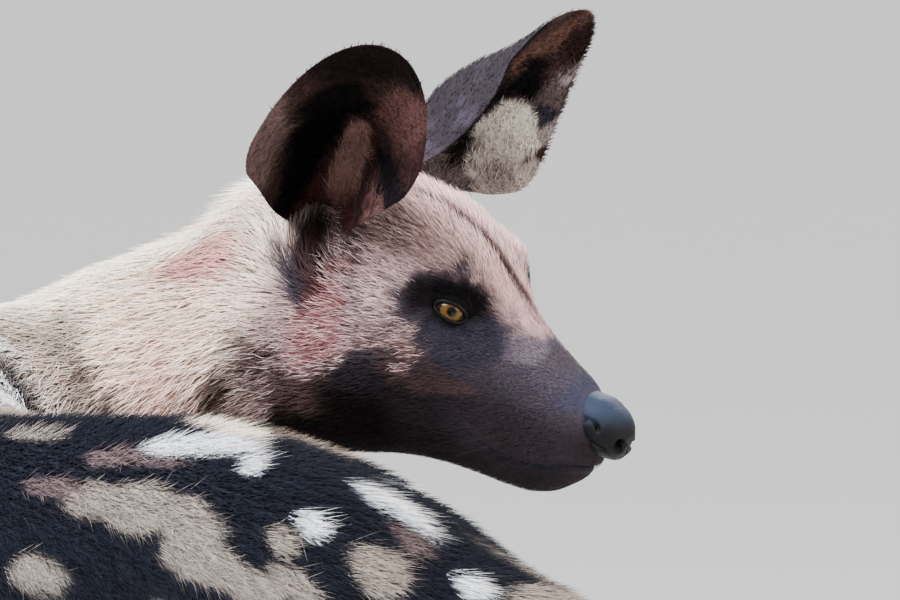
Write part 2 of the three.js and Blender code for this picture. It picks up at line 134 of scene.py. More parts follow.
WALK_END = 1050
walk_angles = np.radians(heading_at(np.arange(0, WALK_END, WALK_STEP) + WALK_STEP / 2)[:, 0])
WALK = np.vstack([[0, 0], np.cumsum(WALK_STEP * circle(walk_angles), 0)])
HEAD_ALONG, HEAD_HEIGHT = 910.0, 706.0
print("the neck ends at", on_spine(HEAD_ALONG)[0].round(1))

# %% [markdown]
# ## Sections and their rows
# A section is two half ovals that meet at its widest level. The rows hold, for each distance:
# half width, widest level, top, bottom, and how square the upper and the lower half are.

# %% Rows of the trunk, the neck and the head
TORSO_ROWS = [
    [-14, 10, 550, 566, 532, 2, 2], [-6, 30, 548, 580, 498, 2, 2], [20, 46, 548, 592, 472, 2, 2],
    [60, 58, 556, 609, 456, 2.1, 2], [110, 66, 566, 634, 454, 2.2, 2], [170, 69, 578, 655, 464, 2.2, 2],
    [250, 66, 582, 667, 480, 2.2, 2], [330, 73, 570, 664, 462, 2.1, 1.9],
    [410, 85, 556, 660, 424, 2.1, 1.9], [490, 88, 552, 664, 398, 2, 1.85],
    [570, 80, 562, 676, 388, 1.9, 1.85], [620, 71, 560, 676, 394, 2, 2], [662, 60, 545, 655, 412, 2, 2],
    [690, 41, 530, 615, 440, 2, 2], [705, 14, 522, 558, 488, 2, 2],
]
NECK_ROWS = [
    [600, 50, 590, 668, 480, 2, 2], [650, 64, 600, 685, 470, 2, 2], [700, 65, 610, 696, 500, 2, 2],
    [760, 62, 626, 706, 540, 2, 2], [830, 60, 655, 730, 578, 2, 2], [910, 59, 686, 756, 610, 2, 2],
    [950, 48, 690, 745, 640, 2, 2],
]
HEAD_ROWS = [
    [-38, 30, -10, 30, -60, 2, 2], [-30, 48, -8, 52, -76, 2, 2], [-5, 60, -6, 68, -84, 2, 2],
    [30, 66, 0, 80, -84, 2.1, 2], [60, 69, 4, 85, -78, 2.2, 2], [85, 68, 8, 82, -70, 2.4, 1.95],
    [105, 62, 10, 74, -63, 2.7, 1.95], [122, 53, 6, 65, -59, 2.8, 1.95], [137, 43, 2, 54, -57, 2.6, 2],
    [152, 36, -4, 42, -56, 2.4, 2.1], [168, 31, -8, 33, -55.5, 2.3, 2.2],
    [184, 27.5, -10, 25, -54, 2.3, 2.3], [198, 24.5, -12, 18, -49, 2.3, 2.3],
    [208, 20, -14, 10.5, -41, 2.2, 2.2], [215, 14, -15, 2, -33, 2, 2], [219, 6, -16, -9, -24, 2, 2],
]
NOSE_ROWS = [
    [196, 10, 1, 11, -6, 2, 2], [204, 14.5, 0, 13.5, -11, 2.3, 2], [213, 17, -3, 13.5, -16.5, 2.5, 2],
    [222, 16.5, -5, 10.5, -19.5, 2.4, 2.1], [229, 13, -6.5, 6, -18.5, 2.2, 2.2],
    [233.5, 6.5, -7.5, -1, -13.5, 2, 2],
]
# Swellings and hollows of each side of the head: place, size, rise
HEAD_FORMS = [
    ("brow", (124, 34, 56), 16, 6),
    ("socket in front of the eye", (140, 33, 34), 13, -4),
    ("eye hollow", (119, 46, 32), 15, -5),
    ("cheekbone", (102, 56, 6), 24, 5),
    ("temple", (88, 52, 58), 20, -5),
    ("flank of the muzzle", (166, 31, 8), 20, -3),
    ("whisker pad", (192, 26, -16), 16, 3.5),
    ("lip above the chin", (160, 32, -34), 14, 2.5),
]


# The ears' common sizes, and for each: root, the way up it, the way out of its cup, then the twist
# of its foot, its length, the skew of its outline, how much its two edges narrow low down, and how
# much its top narrows
EAR = {"half": 47, "cup": 30, "dish": 33, "blade": 8, "thick": 3.0, "rim": 1.6, "sink": 24}
EARS = {
    "ear_left": ((30, 40, 60), (0.37, 0.5, 0.84), (1, -0.3, -0.1), (-0.9, 168, -0.38, (0.0, 0.32), 0.27)),
    "ear_right": ((31, -56, 42), (0.25, -0.44, 0.86), (0.42, -0.9, 0.1), (0.25, 167, 0.3, (0.2, 0.2), 0.0)),
}


# %% Sections, and closed meshes through rings
def section(row, angles):
    half, level, top, bottom, upper, lower = np.moveaxis(row[:, None, :], -1, 0)
    c, s = np.cos(angles), np.sin(angles)
    power = 2 / np.where(s >= 0, upper, lower)
    reach = np.where(s >= 0, top - level, level - bottom)
    across = half * np.sign(c) * np.abs(c) ** power
    return across, level + reach * np.sign(s) * np.abs(s) ** power


def outward(points, faces):
    """The faces of a closed form, turned to look out of it."""
    p = points[faces]
    volume = np.einsum("ij,ij->i", p[:, 0], np.cross(p[:, 1], p[:, 2])).sum()
    return faces if volume > 0 else faces[:, ::-1]


def closed(rings):
    """Points and triangles of a skin over rings of points, shut by a fan at each end."""
    count, sides = rings.shape[:2]
    points = np.vstack([rings.reshape(-1, 3), rings[0].mean(0), rings[-1].mean(0)])
    i, k = np.meshgrid(np.arange(count - 1), np.arange(sides), indexing="ij")
    a, b = i * sides + k, i * sides + (k + 1) % sides
    quads = stack(a, b, b + sides, a + sides).reshape(-1, 4)
    k = np.arange(sides)
    first, last = len(points) - 2, (count - 1) * sides
    fans = [stack(first, (k + 1) % sides, k), stack(first + 1, last + k, last + (k + 1) % sides)]
    return points, outward(points, np.vstack([quads[:, [0, 1, 2]], quads[:, [0, 2, 3]], *fans]))


def joined(forms):
    """Several meshes as one."""
    forms = list(forms)
    starts = np.cumsum([0] + [len(points) for points, _ in forms])
    faces = [faces + start for (_, faces), start in zip(forms, starts)]
    return np.vstack([points for points, _ in forms]), np.vstack(faces)


def ring_angles(sides):
    return 2 * np.pi * (np.arange(sides) + 0.5) / sides


def tube(at, side, normal, radius, sides):
    """Rings of points round a line; side and normal span each ring."""
    angle = ring_angles(sides)[None, :, None]
    side, normal = (np.broadcast_to(v, at.shape)[:, None] for v in (side, normal))
    return at[:, None] + radius * (np.cos(angle) * side + np.sin(angle) * normal)


def trunk(rows, sides=64, count=150):
    s = np.linspace(rows[0][0], rows[-1][0], count)
    across, up = section(curve(rows)(s), ring_angles(sides))
    at, forward = on_spine(s)
    x = at[:, None, 0] - forward[:, None, 1] * across
    y = at[:, None, 1] + forward[:, None, 0] * across
    return closed(stack(x, y, up))


# %% The head's own frame
def turn(axis, degrees):
    c, s = math.cos(math.radians(degrees)), math.sin(math.radians(degrees))
    rows = {"x": [[1, 0, 0], [0, c, -s], [0, s, c]], "y": [[c, 0, s], [0, 1, 0], [-s, 0, c]]}
    return np.array(rows.get(axis, [[c, -s, 0], [s, c, 0], [0, 0, 1]]))


HEAD_TURN = turn("z", -159) @ turn("y", 19.4) @ turn("x", 1.3)
HEAD_AT = np.append(on_spine(HEAD_ALONG)[0], HEAD_HEIGHT)


def from_head(p):
    return p @ HEAD_TURN.T + HEAD_AT


def to_head(p):
    return (p - HEAD_AT) @ HEAD_TURN


def head_shape(sides=120, count=150):
    x = HEAD_ROWS[0][0] + (HEAD_ROWS[-1][0] - HEAD_ROWS[0][0]) * np.linspace(0, 1, count) ** 0.85
    row = curve(HEAD_ROWS)(x)
    across, up = section(row, ring_angles(sides))
    point = stack(x[:, None], across, up)
    out = unit(stack(0, across, up - row[:, None, 1]))
    folded = stack(x[:, None], np.abs(across), up)
    lifted = sum(
        lift * np.exp(-((np.linalg.norm(folded - np.array(at), axis=-1) / size) ** 2))
        for _, at, size, lift in HEAD_FORMS
    )
    return closed(from_head(point + out * lifted[..., None]))


EYE = {"x": 119.5, "y": 35.0, "z": 33.0, "radius": 10.8}


def eye_centre(side):
    return np.array([EYE["x"], side * EYE["y"], EYE["z"]])


near_eye = np.array([list(corner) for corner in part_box("eye_right")]).mean(0)
SHIFT = 1000 * near_eye - from_head(eye_centre(-1))
print("the solids' origin is moved by", SHIFT.round(1), "mm from the spine's start")


def metres(p):
    return (np.asarray(p) + SHIFT) / 1000


# %% [markdown]
# ## The camera, the floor and the light
# The photograph is a long-lens view from behind the left hip, almost level with the eyes.
# The near eye is a little left of and below the middle of the picture, 0.56 mm to a pixel.

# %% Camera
PICTURE = (900, 600)
PIXEL = 0.56 / 1000
EYE_PIXEL = (449.5, 309.5)
DISTANCE = 5.0
SENSOR = 36
AZIMUTH, ELEVATION = math.radians(227), math.radians(3)
level = math.cos(ELEVATION)
towards = Vector((math.sin(AZIMUTH) * level, -math.cos(AZIMUTH) * level, math.sin(ELEVATION)))
right = Vector((0, 0, 1)).cross(towards).normalized()
upward = towards.cross(right)
off_middle = right * (PICTURE[0] / 2 - EYE_PIXEL[0]) + upward * (EYE_PIXEL[1] - PICTURE[1] / 2)
aim = Vector(near_eye) + off_middle * PIXEL
camera_data = bpy.data.cameras.new("long_lens")
camera_data.sensor_width = SENSOR
camera_data.lens = SENSOR * DISTANCE / (PICTURE[0] * PIXEL)
camera_data.clip_end = 400
camera = bpy.data.objects.new("camera", camera_data)
camera.location = aim + towards * DISTANCE
camera.rotation_euler = towards.to_track_quat("Z", "Y").to_euler()
bpy.context.scene.collection.objects.link(camera)
bpy.context.scene.camera = camera
print("lens", round(camera_data.lens), "mm, camera height", round(camera.location.z, 3), "m")


# %% Colours and a helper that adds one node
def linear(hex_code):
    channels = [int(hex_code[i : i + 2], 16) / 255 for i in (1, 3, 5)]
    return np.array([c / 12.92 if c <= 0.04045 else ((c + 0.055) / 1.055) ** 2.4 for c in channels])


def rgba(hex_code):
    return (*linear(hex_code), 1.0)


def add(tree, kind, settings=None, **links):
    """One node: settings are its properties or input values, links feed its inputs."""
    node = tree.nodes.new(kind)
    for key, value in (settings or {}).items():
        if key == "stops":
            for i, (place, colour) in value.items():
                node.color_ramp.elements[i].position, node.color_ramp.elements[i].color = place, colour
        elif isinstance(value, bpy.types.NodeSocket):
            tree.links.new(value, node.inputs[key])
        elif isinstance(key, str) and hasattr(node, key):
            setattr(node, key, value)
        else:
            node.inputs[key].default_value = value
    for key, source in links.items():
        tree.links.new(source, node.inputs[key.replace("_", " ")])
    return node


def material(name, **values):
    """A new material, its shader, and the values that are set on the shader's inputs."""
    made = bpy.data.materials.new(name)
    made.use_nodes = True
    tree = made.node_tree
    tree.nodes.clear()
    shader = tree.nodes.new("ShaderNodeBsdfPrincipled")
    out = tree.nodes.new("ShaderNodeOutputMaterial")
    tree.links.new(shader.outputs[0], out.inputs[0])
    for key, value in values.items():
        shader.inputs[key.replace("_", " ")].default_value = value
    return made, tree, shader


def relief(tree, shader, height, strength, mm, **settings):
    """A bump of some depth in millimetres."""
    settings = {"Strength": strength, "Distance": mm / 1000, **settings}
    bump = add(tree, "ShaderNodeBump", settings, Height=height)
    tree.links.new(bump.outputs[0], shader.inputs["Normal"])


def painted(tree, shader):
    """The tone that is laid on the points of the mesh becomes the base colour."""
    tone = add(tree, "ShaderNodeAttribute", {"attribute_name": "coat"})
    tree.links.new(tone.outputs["Color"], shader.inputs["Base Color"])


def spots(tree, kind, size, **settings):
    """A solid pattern on the object's own coordinates, its size in millimetres."""
    where = add(tree, "ShaderNodeTexCoord")
    return add(tree, kind, {"Scale": 1000 / size, **settings}, Vector=where.outputs["Object"])


# %% Floor and light
def link(name, data):
    made = bpy.data.objects.new(name, data)
    bpy.context.scene.collection.objects.link(made)
    return made


FLOOR = 90.0
floor_mesh = bpy.data.meshes.new("floor")
corners = [(x * FLOOR, y * FLOOR, 0) for x, y in ((-1, -1), (1, -1), (1, 1), (-1, 1))]
floor_mesh.from_pydata(corners, [], [(0, 1, 2, 3)])
floor = link("floor", floor_mesh)
floor_paint, *_ = material("matt pale studio floor", Base_Color=rgba("#e9e8e5"), Roughness=0.9)
floor_mesh.materials.append(floor_paint)
floor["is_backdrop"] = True

world = bpy.data.worlds.new("pale room")
world.use_nodes = True
background = world.node_tree.nodes["Background"].inputs
background["Color"].default_value = rgba("#dfe1e3")
background["Strength"].default_value = 1.65
bpy.context.scene.world = world


def lamp(name, place, size, watts, colour):
    data = bpy.data.lights.new(name, "AREA")
    data.shape, data.size, data.energy, data.color = "DISK", size, watts, linear(colour)
    made = link(name, data)
    made.location = aim + Vector(place)
    made.rotation_euler = Vector(place).to_track_quat("Z", "Y").to_euler()


lamp("soft sky from the left", right * -1.7 + upward * 2.3 + towards * 1.6, 2.2, 620, "#f6f6ff")
lamp("fill from the right", right * 2.4 + upward * 0.9 + towards * 1.2, 2.4, 150, "#fff4ea")
lamp("rim from behind", right * 0.6 + upward * 1.8 - towards * 2.2, 1.6, 120, "#ffffff")

# %% [markdown]
# ## Legs, paws and tail
# A leg is a pile of level ovals. It leans so that one foot stands a little ahead of the other.
# The paws are a palm and four toes of plain ovals, which a soft union melts together below.

# %% Rows of the limbs
FORE_ROWS = [
    [14, -6, 0, 20, 19], [32, -12, 0, 18, 17.5], [60, -17, 0, 15.5, 14], [95, -15, 0, 15, 13.5],
    [130, -9, 0, 19, 17.5], [160, -8, 1, 17, 15], [230, -8, 4, 19, 16], [300, -9, 8, 25, 21],
    [350, -14, 11, 35, 26], [388, -18, 12, 48, 30], [430, -6, 10, 58, 34], [480, 8, 6, 66, 36],
    [530, 8, -2, 64, 34], [575, 2, -10, 52, 28], [615, -6, -20, 34, 18], [640, -12, -26, 12, 7],
]
HIND_ROWS = [
    [14, 4, 0, 18, 17], [32, -2, 0, 17, 16], [70, -8, 0, 14, 12.5], [120, -13, 1, 14, 12.5],
    [158, -18, 2, 19, 14], [180, -20, 2, 26, 16], [205, -12, 3, 24, 15.5], [245, 12, 5, 25, 18],
    [290, 40, 8, 34, 24], [335, 62, 10, 48, 31], [375, 68, 9, 63, 36], [420, 58, 4, 73, 40],
    [465, 48, -3, 76, 40], [510, 40, -9, 70, 36], [550, 40, -15, 56, 29], [582, 44, -22, 32, 18],
    [600, 48, -26, 11, 7],
]
PAW_FRONT = {"toe": (21, 10.5, 13), "inner": (27, 10), "outer": (11, 23.5), "palm": (36, 27, 21)}
PAW_HIND = {"toe": (20, 9.5, 12), "inner": (27, 9), "outer": (12, 21), "palm": (34, 24, 20)}
LEGS = {
    "leg_front_left": (600, 1, 64, -27, -8, FORE_ROWS, PAW_FRONT),
    "leg_front_right": (600, -1, 64, -36, 14, FORE_ROWS, PAW_FRONT),
    "leg_hind_left": (72, 1, 60, 6, -26, HIND_ROWS, PAW_HIND),
    "leg_hind_right": (72, -1, 60, 4, 8, HIND_ROWS, PAW_HIND),
}
LEAN_TOP = 480
SOLE = 3
PAW_AHEAD = 8


def ball(radii, at, sides=24, rings=16):
    polar = np.linspace(0.02, np.pi - 0.02, rings)[:, None]
    angle = 2 * np.pi * np.arange(sides) / sides
    shape = stack(np.sin(polar) * np.cos(angle), np.sin(polar) * np.sin(angle), np.cos(polar))
    return closed(shape * np.array(radii) + np.array(at))


class Leg:
    """A leg's place, its ways ahead and outwards, and its middle at any height."""

    def __init__(self, along, side, out, heading, forward, rows, paw):
        at, way = on_spine(float(along))
        self.ahead = np.array([math.cos(math.radians(heading)), math.sin(math.radians(heading)), 0])
        self.outward = side * np.array([-self.ahead[1], self.ahead[0], 0])
        self.root = np.append(at + side * out * np.array([-way[1], way[0]]), 0)
        self.forward, self.rows, self.paw, self.shape = forward, rows, paw, curve(rows)
        self.heading = heading

    def middle(self, z):
        row = self.shape(z)
        lean = self.forward * np.maximum(0, 1 - z / LEAN_TOP)
        flat = self.root + (row[..., :1] + lean[..., None]) * self.ahead + row[..., 1:2] * self.outward
        return flat * [1, 1, 0] + z[..., None] * [0, 0, 1], row[..., 2], row[..., 3]

    def mesh(self, sides=40, count=90):
        z = np.linspace(self.rows[0][0], self.rows[-1][0], count)
        middle, half, wide = self.middle(z)
        return closed(tube(middle, half[:, None] * self.ahead, wide[:, None] * self.outward, 1, sides))

    def foot(self, p):
        """From the paw's own frame, toes along +X, to the body's."""
        at = self.root + (self.rows[0][1] + self.forward + PAW_AHEAD) * self.ahead
        return p @ turn("z", self.heading).T + at * [1, 1, 0]

    def toes(self):
        for place, side in [("inner", 1), ("inner", -1), ("outer", 1), ("outer", -1)]:
            yield self.paw[place][0], side * self.paw[place][1]

    def paw_balls(self):
        length, half, height = self.paw["palm"]
        yield ball((length, half, height), (-PAW_AHEAD, 0, height - SOLE))
        for x, y in self.toes():
            yield ball(self.paw["toe"], (x, y, self.paw["toe"][2] - SOLE))


legs = {name: Leg(*row) for name, row in LEGS.items()}
TAIL_PATH = [
    [0.0, 30, 568], [0.12, -12, 558], [0.26, -48, 524], [0.42, -70, 466], [0.58, -80, 400],
    [0.74, -84, 332], [0.88, -82, 270], [1.0, -74, 222],
]
TAIL_RADII = [[0, 24], [0.12, 20], [0.28, 15], [0.42, 15], [0.6, 18], [0.8, 17], [0.93, 11], [1, 3]]
tail_at = curve(TAIL_PATH)
tail_radius = curve(TAIL_RADII)
tail_way = on_spine(0.0)[1]


def tail_frame(t):
    def place(u):
        x, z = np.moveaxis(tail_at(u), -1, 0)
        return stack(x * tail_way[0], x * tail_way[1], z)

    along = unit(place(np.minimum(t + 0.01, 1)) - place(np.maximum(t - 0.01, 0)))
    side = np.array([-tail_way[1], tail_way[0], 0.0])
    return place(t), along, np.broadcast_to(side, along.shape), np.cross(along, side)


def tail_mesh(sides=32, count=70):
    t = np.linspace(0, 1, count)
    at, _, side, normal = tail_frame(t)
    return closed(tube(at, side, normal, tail_radius(t)[:, None], sides))


# %% [markdown]
# ## One skin
# Plain closed forms are turned into distance fields on a grid and joined by a soft union, which
# lays flesh into each corner as muscle and hide do. The field is then meshed: coarse over the
# trunk, finer at the paws and finest over the head, where the grid lines up with the same forms.


# %% Distance fields and their soft union
def field(form, voxel, low, shape, band):
    points, faces = form
    grid = vdb.FloatGrid.createLevelSetFromPolygons(
        (points / voxel).astype(np.float32),
        triangles=faces.astype(np.uint32),
        transform=vdb.createLinearTransform(voxelSize=1.0),
        halfWidth=band / voxel,
    )
    block = np.empty(shape, np.float32)
    grid.copyToArray(block, ijk=tuple(int(v) for v in low))
    return block * voxel


def soft_union(a, b, reach):
    mix = np.clip(0.5 + 0.5 * (b - a) / reach, 0, 1)
    return b * (1 - mix) + a * mix - reach * mix * (1 - mix)


def surface(forms, voxel, low, high, band, level=0.0):
    """forms: rows of (mesh, width of the soft union with what came before)."""
    low = np.floor(np.array(low) / voxel).astype(int)
    shape = tuple(np.ceil(np.array(high) / voxel).astype(int) - low)
    whole = None
    for form, reach in forms:
        block = field(form, voxel, low, shape, band)
        whole = block if whole is None else soft_union(whole, block, min(reach, band))
    grid = vdb.FloatGrid(float(band))
    grid.copyFromArray(np.ascontiguousarray(whole), ijk=tuple(int(v) for v in low))
    points, quads = grid.convertToQuads(isovalue=level)
    return points.astype(float) * voxel, quads.astype(int)


def keep(points, faces, wanted):
    """The faces whose points all pass the test, with unused points dropped."""
    faces = faces[wanted[faces].all(1)]
    used, index = np.unique(faces, return_inverse=True)
    return points[used], index.reshape(faces.shape)


body_forms = [(trunk(TORSO_ROWS), 0), (trunk(NECK_ROWS), 40), (tail_mesh(), 12)]
body_forms += [(leg.mesh(), 26 if "hind" in name else 24) for name, leg in legs.items()]
body = surface(body_forms, 4.2, (-130, -520, -6), (800, 160, 800), 26)
head_forms = [(trunk(NECK_ROWS, 90, 220), 0), (head_shape(), 26)]
head_low, head_high = HEAD_AT - [300, 200, 180], HEAD_AT + [130, 190, 120]
head = surface(head_forms, 1.7, head_low, head_high, 20)
print("body", len(body[0]), "points; head", len(head[0]), "points")

# %% Paws on their own finer grid, and the cuts between the three
FOOT_TOP = 72.0
NECK_CUT = 846.0


def paw_surface(leg):
    forms = [(leg.mesh(40, 200), 0)]
    forms += [((leg.foot(points), faces), 7) for points, faces in leg.paw_balls()]
    at = leg.foot(np.zeros((1, 3)))[0]
    points, quads = surface(forms, 2.0, at - [90, 90, 10], at + [90, 90, FOOT_TOP + 18], 12)
    inside = (points[:, 2] < FOOT_TOP + 4) & (np.abs(points - at)[:, :2].max(1) < 84)
    points, quads = keep(points, quads, inside)
    points[:, 2] = np.maximum(points[:, 2], 0.2)
    return points, quads


def neck_cut(p):
    """How far, in millimetres, a point lies on the head's side of a cut across the neck."""
    at, forward = on_spine(NECK_CUT)
    return (p[:, 0] - at[0]) * forward[0] + (p[:, 1] - at[1]) * forward[1]


near_head = np.linalg.norm(body[0] - from_head(np.array([60, 0, 0])), axis=1) < 330
on_head_side = (neck_cut(body[0]) > 3) & near_head & (body[0][:, 1] < -150)
body = keep(*body, ~on_head_side & (body[0][:, 2] > FOOT_TOP))
grid_edge = (np.minimum(head[0] - head_low, head_high - head[0]) > 4).all(1)
head = keep(*head, (neck_cut(head[0]) > -3) & grid_edge)
skin_points, skin_quads = joined([body, head] + [paw_surface(leg) for leg in legs.values()])
print("skin", len(skin_points), "points,", 2 * len(skin_quads), "triangles")

# %% [markdown]
# ## Where a point lies
# Coat length, lie and markings all depend on the place. Each part of the body tells how near its
# own surface a point is, how far along and around it the point lies, and which way hair grows
# there. The parts then share the point, so everything fades from one to the next.


# %% Noise that never changes
def noise(p, size, seed=0):
    """Smooth noise from 0 to 1 with blobs of about the given size in millimetres."""
    q = np.asarray(p, float) / size + seed * 17.31
    cell = np.floor(q).astype(np.int64)
    f = q - cell
    f = f * f * (3 - 2 * f)
    total = np.zeros(len(q))
    for corner in range(8):
        step = np.array([corner & 1, corner >> 1 & 1, corner >> 2 & 1])
        c = cell + step
        mixed = (c[:, 0] * 73856093) ^ (c[:, 1] * 19349663) ^ (c[:, 2] * 83492791) ^ (seed * 2654435761)
        mixed = (mixed ^ (mixed >> 13)) * 1274126177 & 0xFFFFFFFF
        value = (mixed ^ (mixed >> 16)) % 65536 / 65535
        total += value * np.prod(np.where(step == 1, f, 1 - f), 1)
    return total


def clouds(p, size, seed=0):
    """Noise of three sizes, each half as large and half as strong as the one before."""
    octaves = [0.5**k * noise(p, size / 2**k, seed + k) for k in range(3)]
    return (octaves[0] + octaves[1] + octaves[2]) / 1.75


def rise(x, low, high):
    u = np.clip((x - low) / (high - low), 0, 1)
    return u * u * (3 - 2 * u)


# %% Trunk, neck, head, legs and tail as places
def oval(row, across, up):
    half, level, top, bottom, upper, lower = np.moveaxis(row, -1, 0)
    power = np.where(up >= level, upper, lower)
    reach = np.where(up >= level, top - level, level - bottom)
    a, b = np.abs(across) / np.maximum(half, 1), np.abs(up - level) / np.maximum(reach, 1)
    return (a**power + b**power) ** (1 / power)


def place_on_trunk(p, rows):
    low, high = rows[0][0], rows[-1][0]
    s = np.arange(low, high + 1, 5.0)
    at, _ = on_spine(s)
    parts = np.array_split(p, max(1, len(p) // 20000))
    nearest = np.concatenate([np.argmin(((part[:, None, :2] - at) ** 2).sum(-1), 1) for part in parts])
    at, forward = on_spine(s[nearest])
    gap = p[:, :2] - at
    along = s[nearest] + (gap * forward).sum(1)
    across = gap[:, 1] * forward[:, 0] - gap[:, 0] * forward[:, 1]
    row = curve(rows)(np.clip(along, low, high))
    beyond = np.maximum(np.maximum(low - along, along - high), 0)
    around = np.sign(across) * np.hypot(across, row[:, 2] - p[:, 2])
    flat = np.concatenate([forward, 0 * forward[:, :1]], 1)
    return {"near": oval(row, across, p[:, 2]) + beyond / 30, "along": along, "around": around,
            "across": across, "forward": flat, "up": (p[:, 2] - row[:, 1]) / (row[:, 2] - row[:, 3])}


def place_on_head(p):
    q = to_head(p)
    low, high = HEAD_ROWS[0][0], HEAD_ROWS[-1][0]
    row = curve(HEAD_ROWS)(np.clip(q[:, 0], low, high))
    beyond = np.maximum(np.maximum(low - q[:, 0], q[:, 0] - high), 0)
    return {"near": oval(row, q[:, 1], q[:, 2]) + beyond / 30, "point": q}


def place_on_leg(p, leg):
    top = leg.rows[-1][0]
    z = np.clip(p[:, 2], 0, top)
    middle, half, wide = leg.middle(z)
    gap = p - middle
    a, b = gap @ leg.ahead, gap @ leg.outward
    foot = rise(p[:, 2], 45, 15)
    half, wide = half * (1 + 1.2 * foot), wide * (1 + 0.7 * foot)
    beyond = np.maximum(p[:, 2] - top, 0)
    return {"near": np.hypot(a / half, b / wide) + beyond / 30, "ahead": a, "outward": b, "z": p[:, 2]}


def place_on_tail(p):
    t = np.linspace(0, 1, 60)
    at, along, side, normal = tail_frame(t)
    nearest = np.argmin(((p[:, None] - at) ** 2).sum(-1), 1)
    gap = np.linalg.norm(p - at[nearest], axis=1)
    return {"near": gap / tail_radius(t[nearest])[:, 0], "t": t[nearest], "way": along[nearest]}


def places(p):
    """Every part's place for each point, and the share that each part has in it."""
    found = {
        "torso": place_on_trunk(p, TORSO_ROWS),
        "neck": place_on_trunk(p, NECK_ROWS),
        "head": place_on_head(p),
        "tail": place_on_tail(p),
    }
    for name, leg in legs.items():
        found[name] = place_on_leg(p, leg)
    share = {name: np.exp(-9 * np.clip(place["near"] - 1, -0.25, 4)) for name, place in found.items()}
    neck, head = found["neck"], found["head"]
    share["neck"] *= rise(neck["along"], 600, 680)
    share["torso"] *= 1 - 0.97 * rise(neck["along"], 660, 720) * (np.abs(neck["near"]) < 1.3)
    share["head"] *= rise(head["point"][:, 0], -20, 30)
    share["neck"] *= 1 - 0.9 * rise(head["point"][:, 0], -20, 30) * (head["near"] < 1.35)
    share["tail"] *= rise(found["tail"]["t"], 0.03, 0.16)
    total = sum(share.values()) + 1e-9
    return found, {name: value / total for name, value in share.items()}


# %% [markdown]
# ## The lie of the coat
# Hair points from the nose to the tail and down the flanks and legs. On the head it parts at the
# midline, sweeps back over the cheeks and runs round the eyes.


# %% Which way the hair lies, and how deep the coat is
def ear_foot(q, root):
    """1 where a point of the head lies at the foot of an ear, 0 far from it."""
    return np.exp(-((np.linalg.norm((q - root) * [0.8, 1, 1], axis=1) / 21) ** 2))


def lie(p, found, share):
    down = np.array([0, 0, -1.0])
    way = np.zeros_like(p)
    for name in ("torso", "neck"):
        place = found[name]
        flank = np.clip(1 - 2 * place["up"], 0, 1.2)[:, None]
        slope = 0.38 if name == "torso" else 0.5
        way += share[name][:, None] * unit(-place["forward"] + slope * flank * down)
    q = found["head"]["point"]
    side = np.sign(q[:, 1])
    back = stack(-1.0, 0.12 * side, -0.1 - 0.35 * rise(q[:, 0], 130, 60) * rise(q[:, 2], 40, -20))
    eye = stack(q[:, 0], np.abs(q[:, 1]), q[:, 2]) - eye_centre(1)
    apart = np.linalg.norm(eye, axis=1)[:, None]
    ring = np.exp(-((apart / 26) ** 2)) + 2 * np.exp(-((apart / 13) ** 2))
    away = unit(eye * [0.4, 0.6, 1.0])
    away[:, 1] *= side
    back = back + 0.75 * ring * away
    for root, up, *_ in EARS.values():
        back = back + 2.2 * ear_foot(q, root)[:, None] * unit(np.array(up, float))
    way += share["head"][:, None] * unit(back) @ HEAD_TURN.T
    for name, leg in legs.items():
        way += share[name][:, None] * unit(down - 0.28 * leg.ahead)
    return unit(way + share["tail"][:, None] * found["tail"]["way"])


def coat_depth(found, share):
    """How far the coat stands off the skin, in millimetres."""
    torso, neck, q = found["torso"], found["neck"], found["head"]["point"]
    depth = share["torso"] * (6.5 + 1.5 * rise(torso["up"], 0.0, -0.45))
    depth += share["neck"] * (9 + 5 * rise(neck["up"], 0.1, -0.4))
    face = 7.5 - 4.0 * rise(q[:, 0], 10, 75) - 1.7 * rise(q[:, 0], 90, 150) - 0.7 * rise(q[:, 0], 150, 190)
    depth += share["head"] * face * (1 - 0.85 * rise(q[:, 0], 184, 202))
    for name in legs:
        z = found[name]["z"]
        depth += share[name] * (2.2 + 3.4 * rise(z, 190, 430) - 1.0 * rise(z, 60, 20))
    return depth + share["tail"] * (6 + 2 * rise(found["tail"]["t"], 0.3, 0.45))


# %% [markdown]
# ## Markings
# No two of these dogs are marked alike. The left rump and the right side of the neck and face
# follow named patches, laid out by distance along and around the body. The rest of the coat is
# mottled by smooth noise in the same black, tan and white.

# %% Tones of the coat
TONES = {
    name: linear(code)
    for name, code in {
        "black": "#1b1d25",
        "brown": "#2f231c",
        "tan": "#978d83",
        "ochre": "#7f6a4d",
        "white": "#f0f5fa",
        "cream": "#fbe9d5",
        "pink cream": "#e9c2b6",
        "blush": "#cb9088",
        "grizzle": "#9f8583",
        "cheek": "#8a6867",
        "pale brow": "#d4aeab",
        "grey": "#6c5c5c",
        "rose": "#855252",
        "umber": "#453433",
        "ear root": "#261517",
        "mauve": "#3b363e",
        "steel": "#282c3d",
        "muzzle": "#1c181c",
        "throat": "#030202",
        "slate": "#2b2932",
        "eye patch": "#050405",
        "frosted": "#6c636b",
        "jaw brown": "#3c2d2b",
    }.items()
}
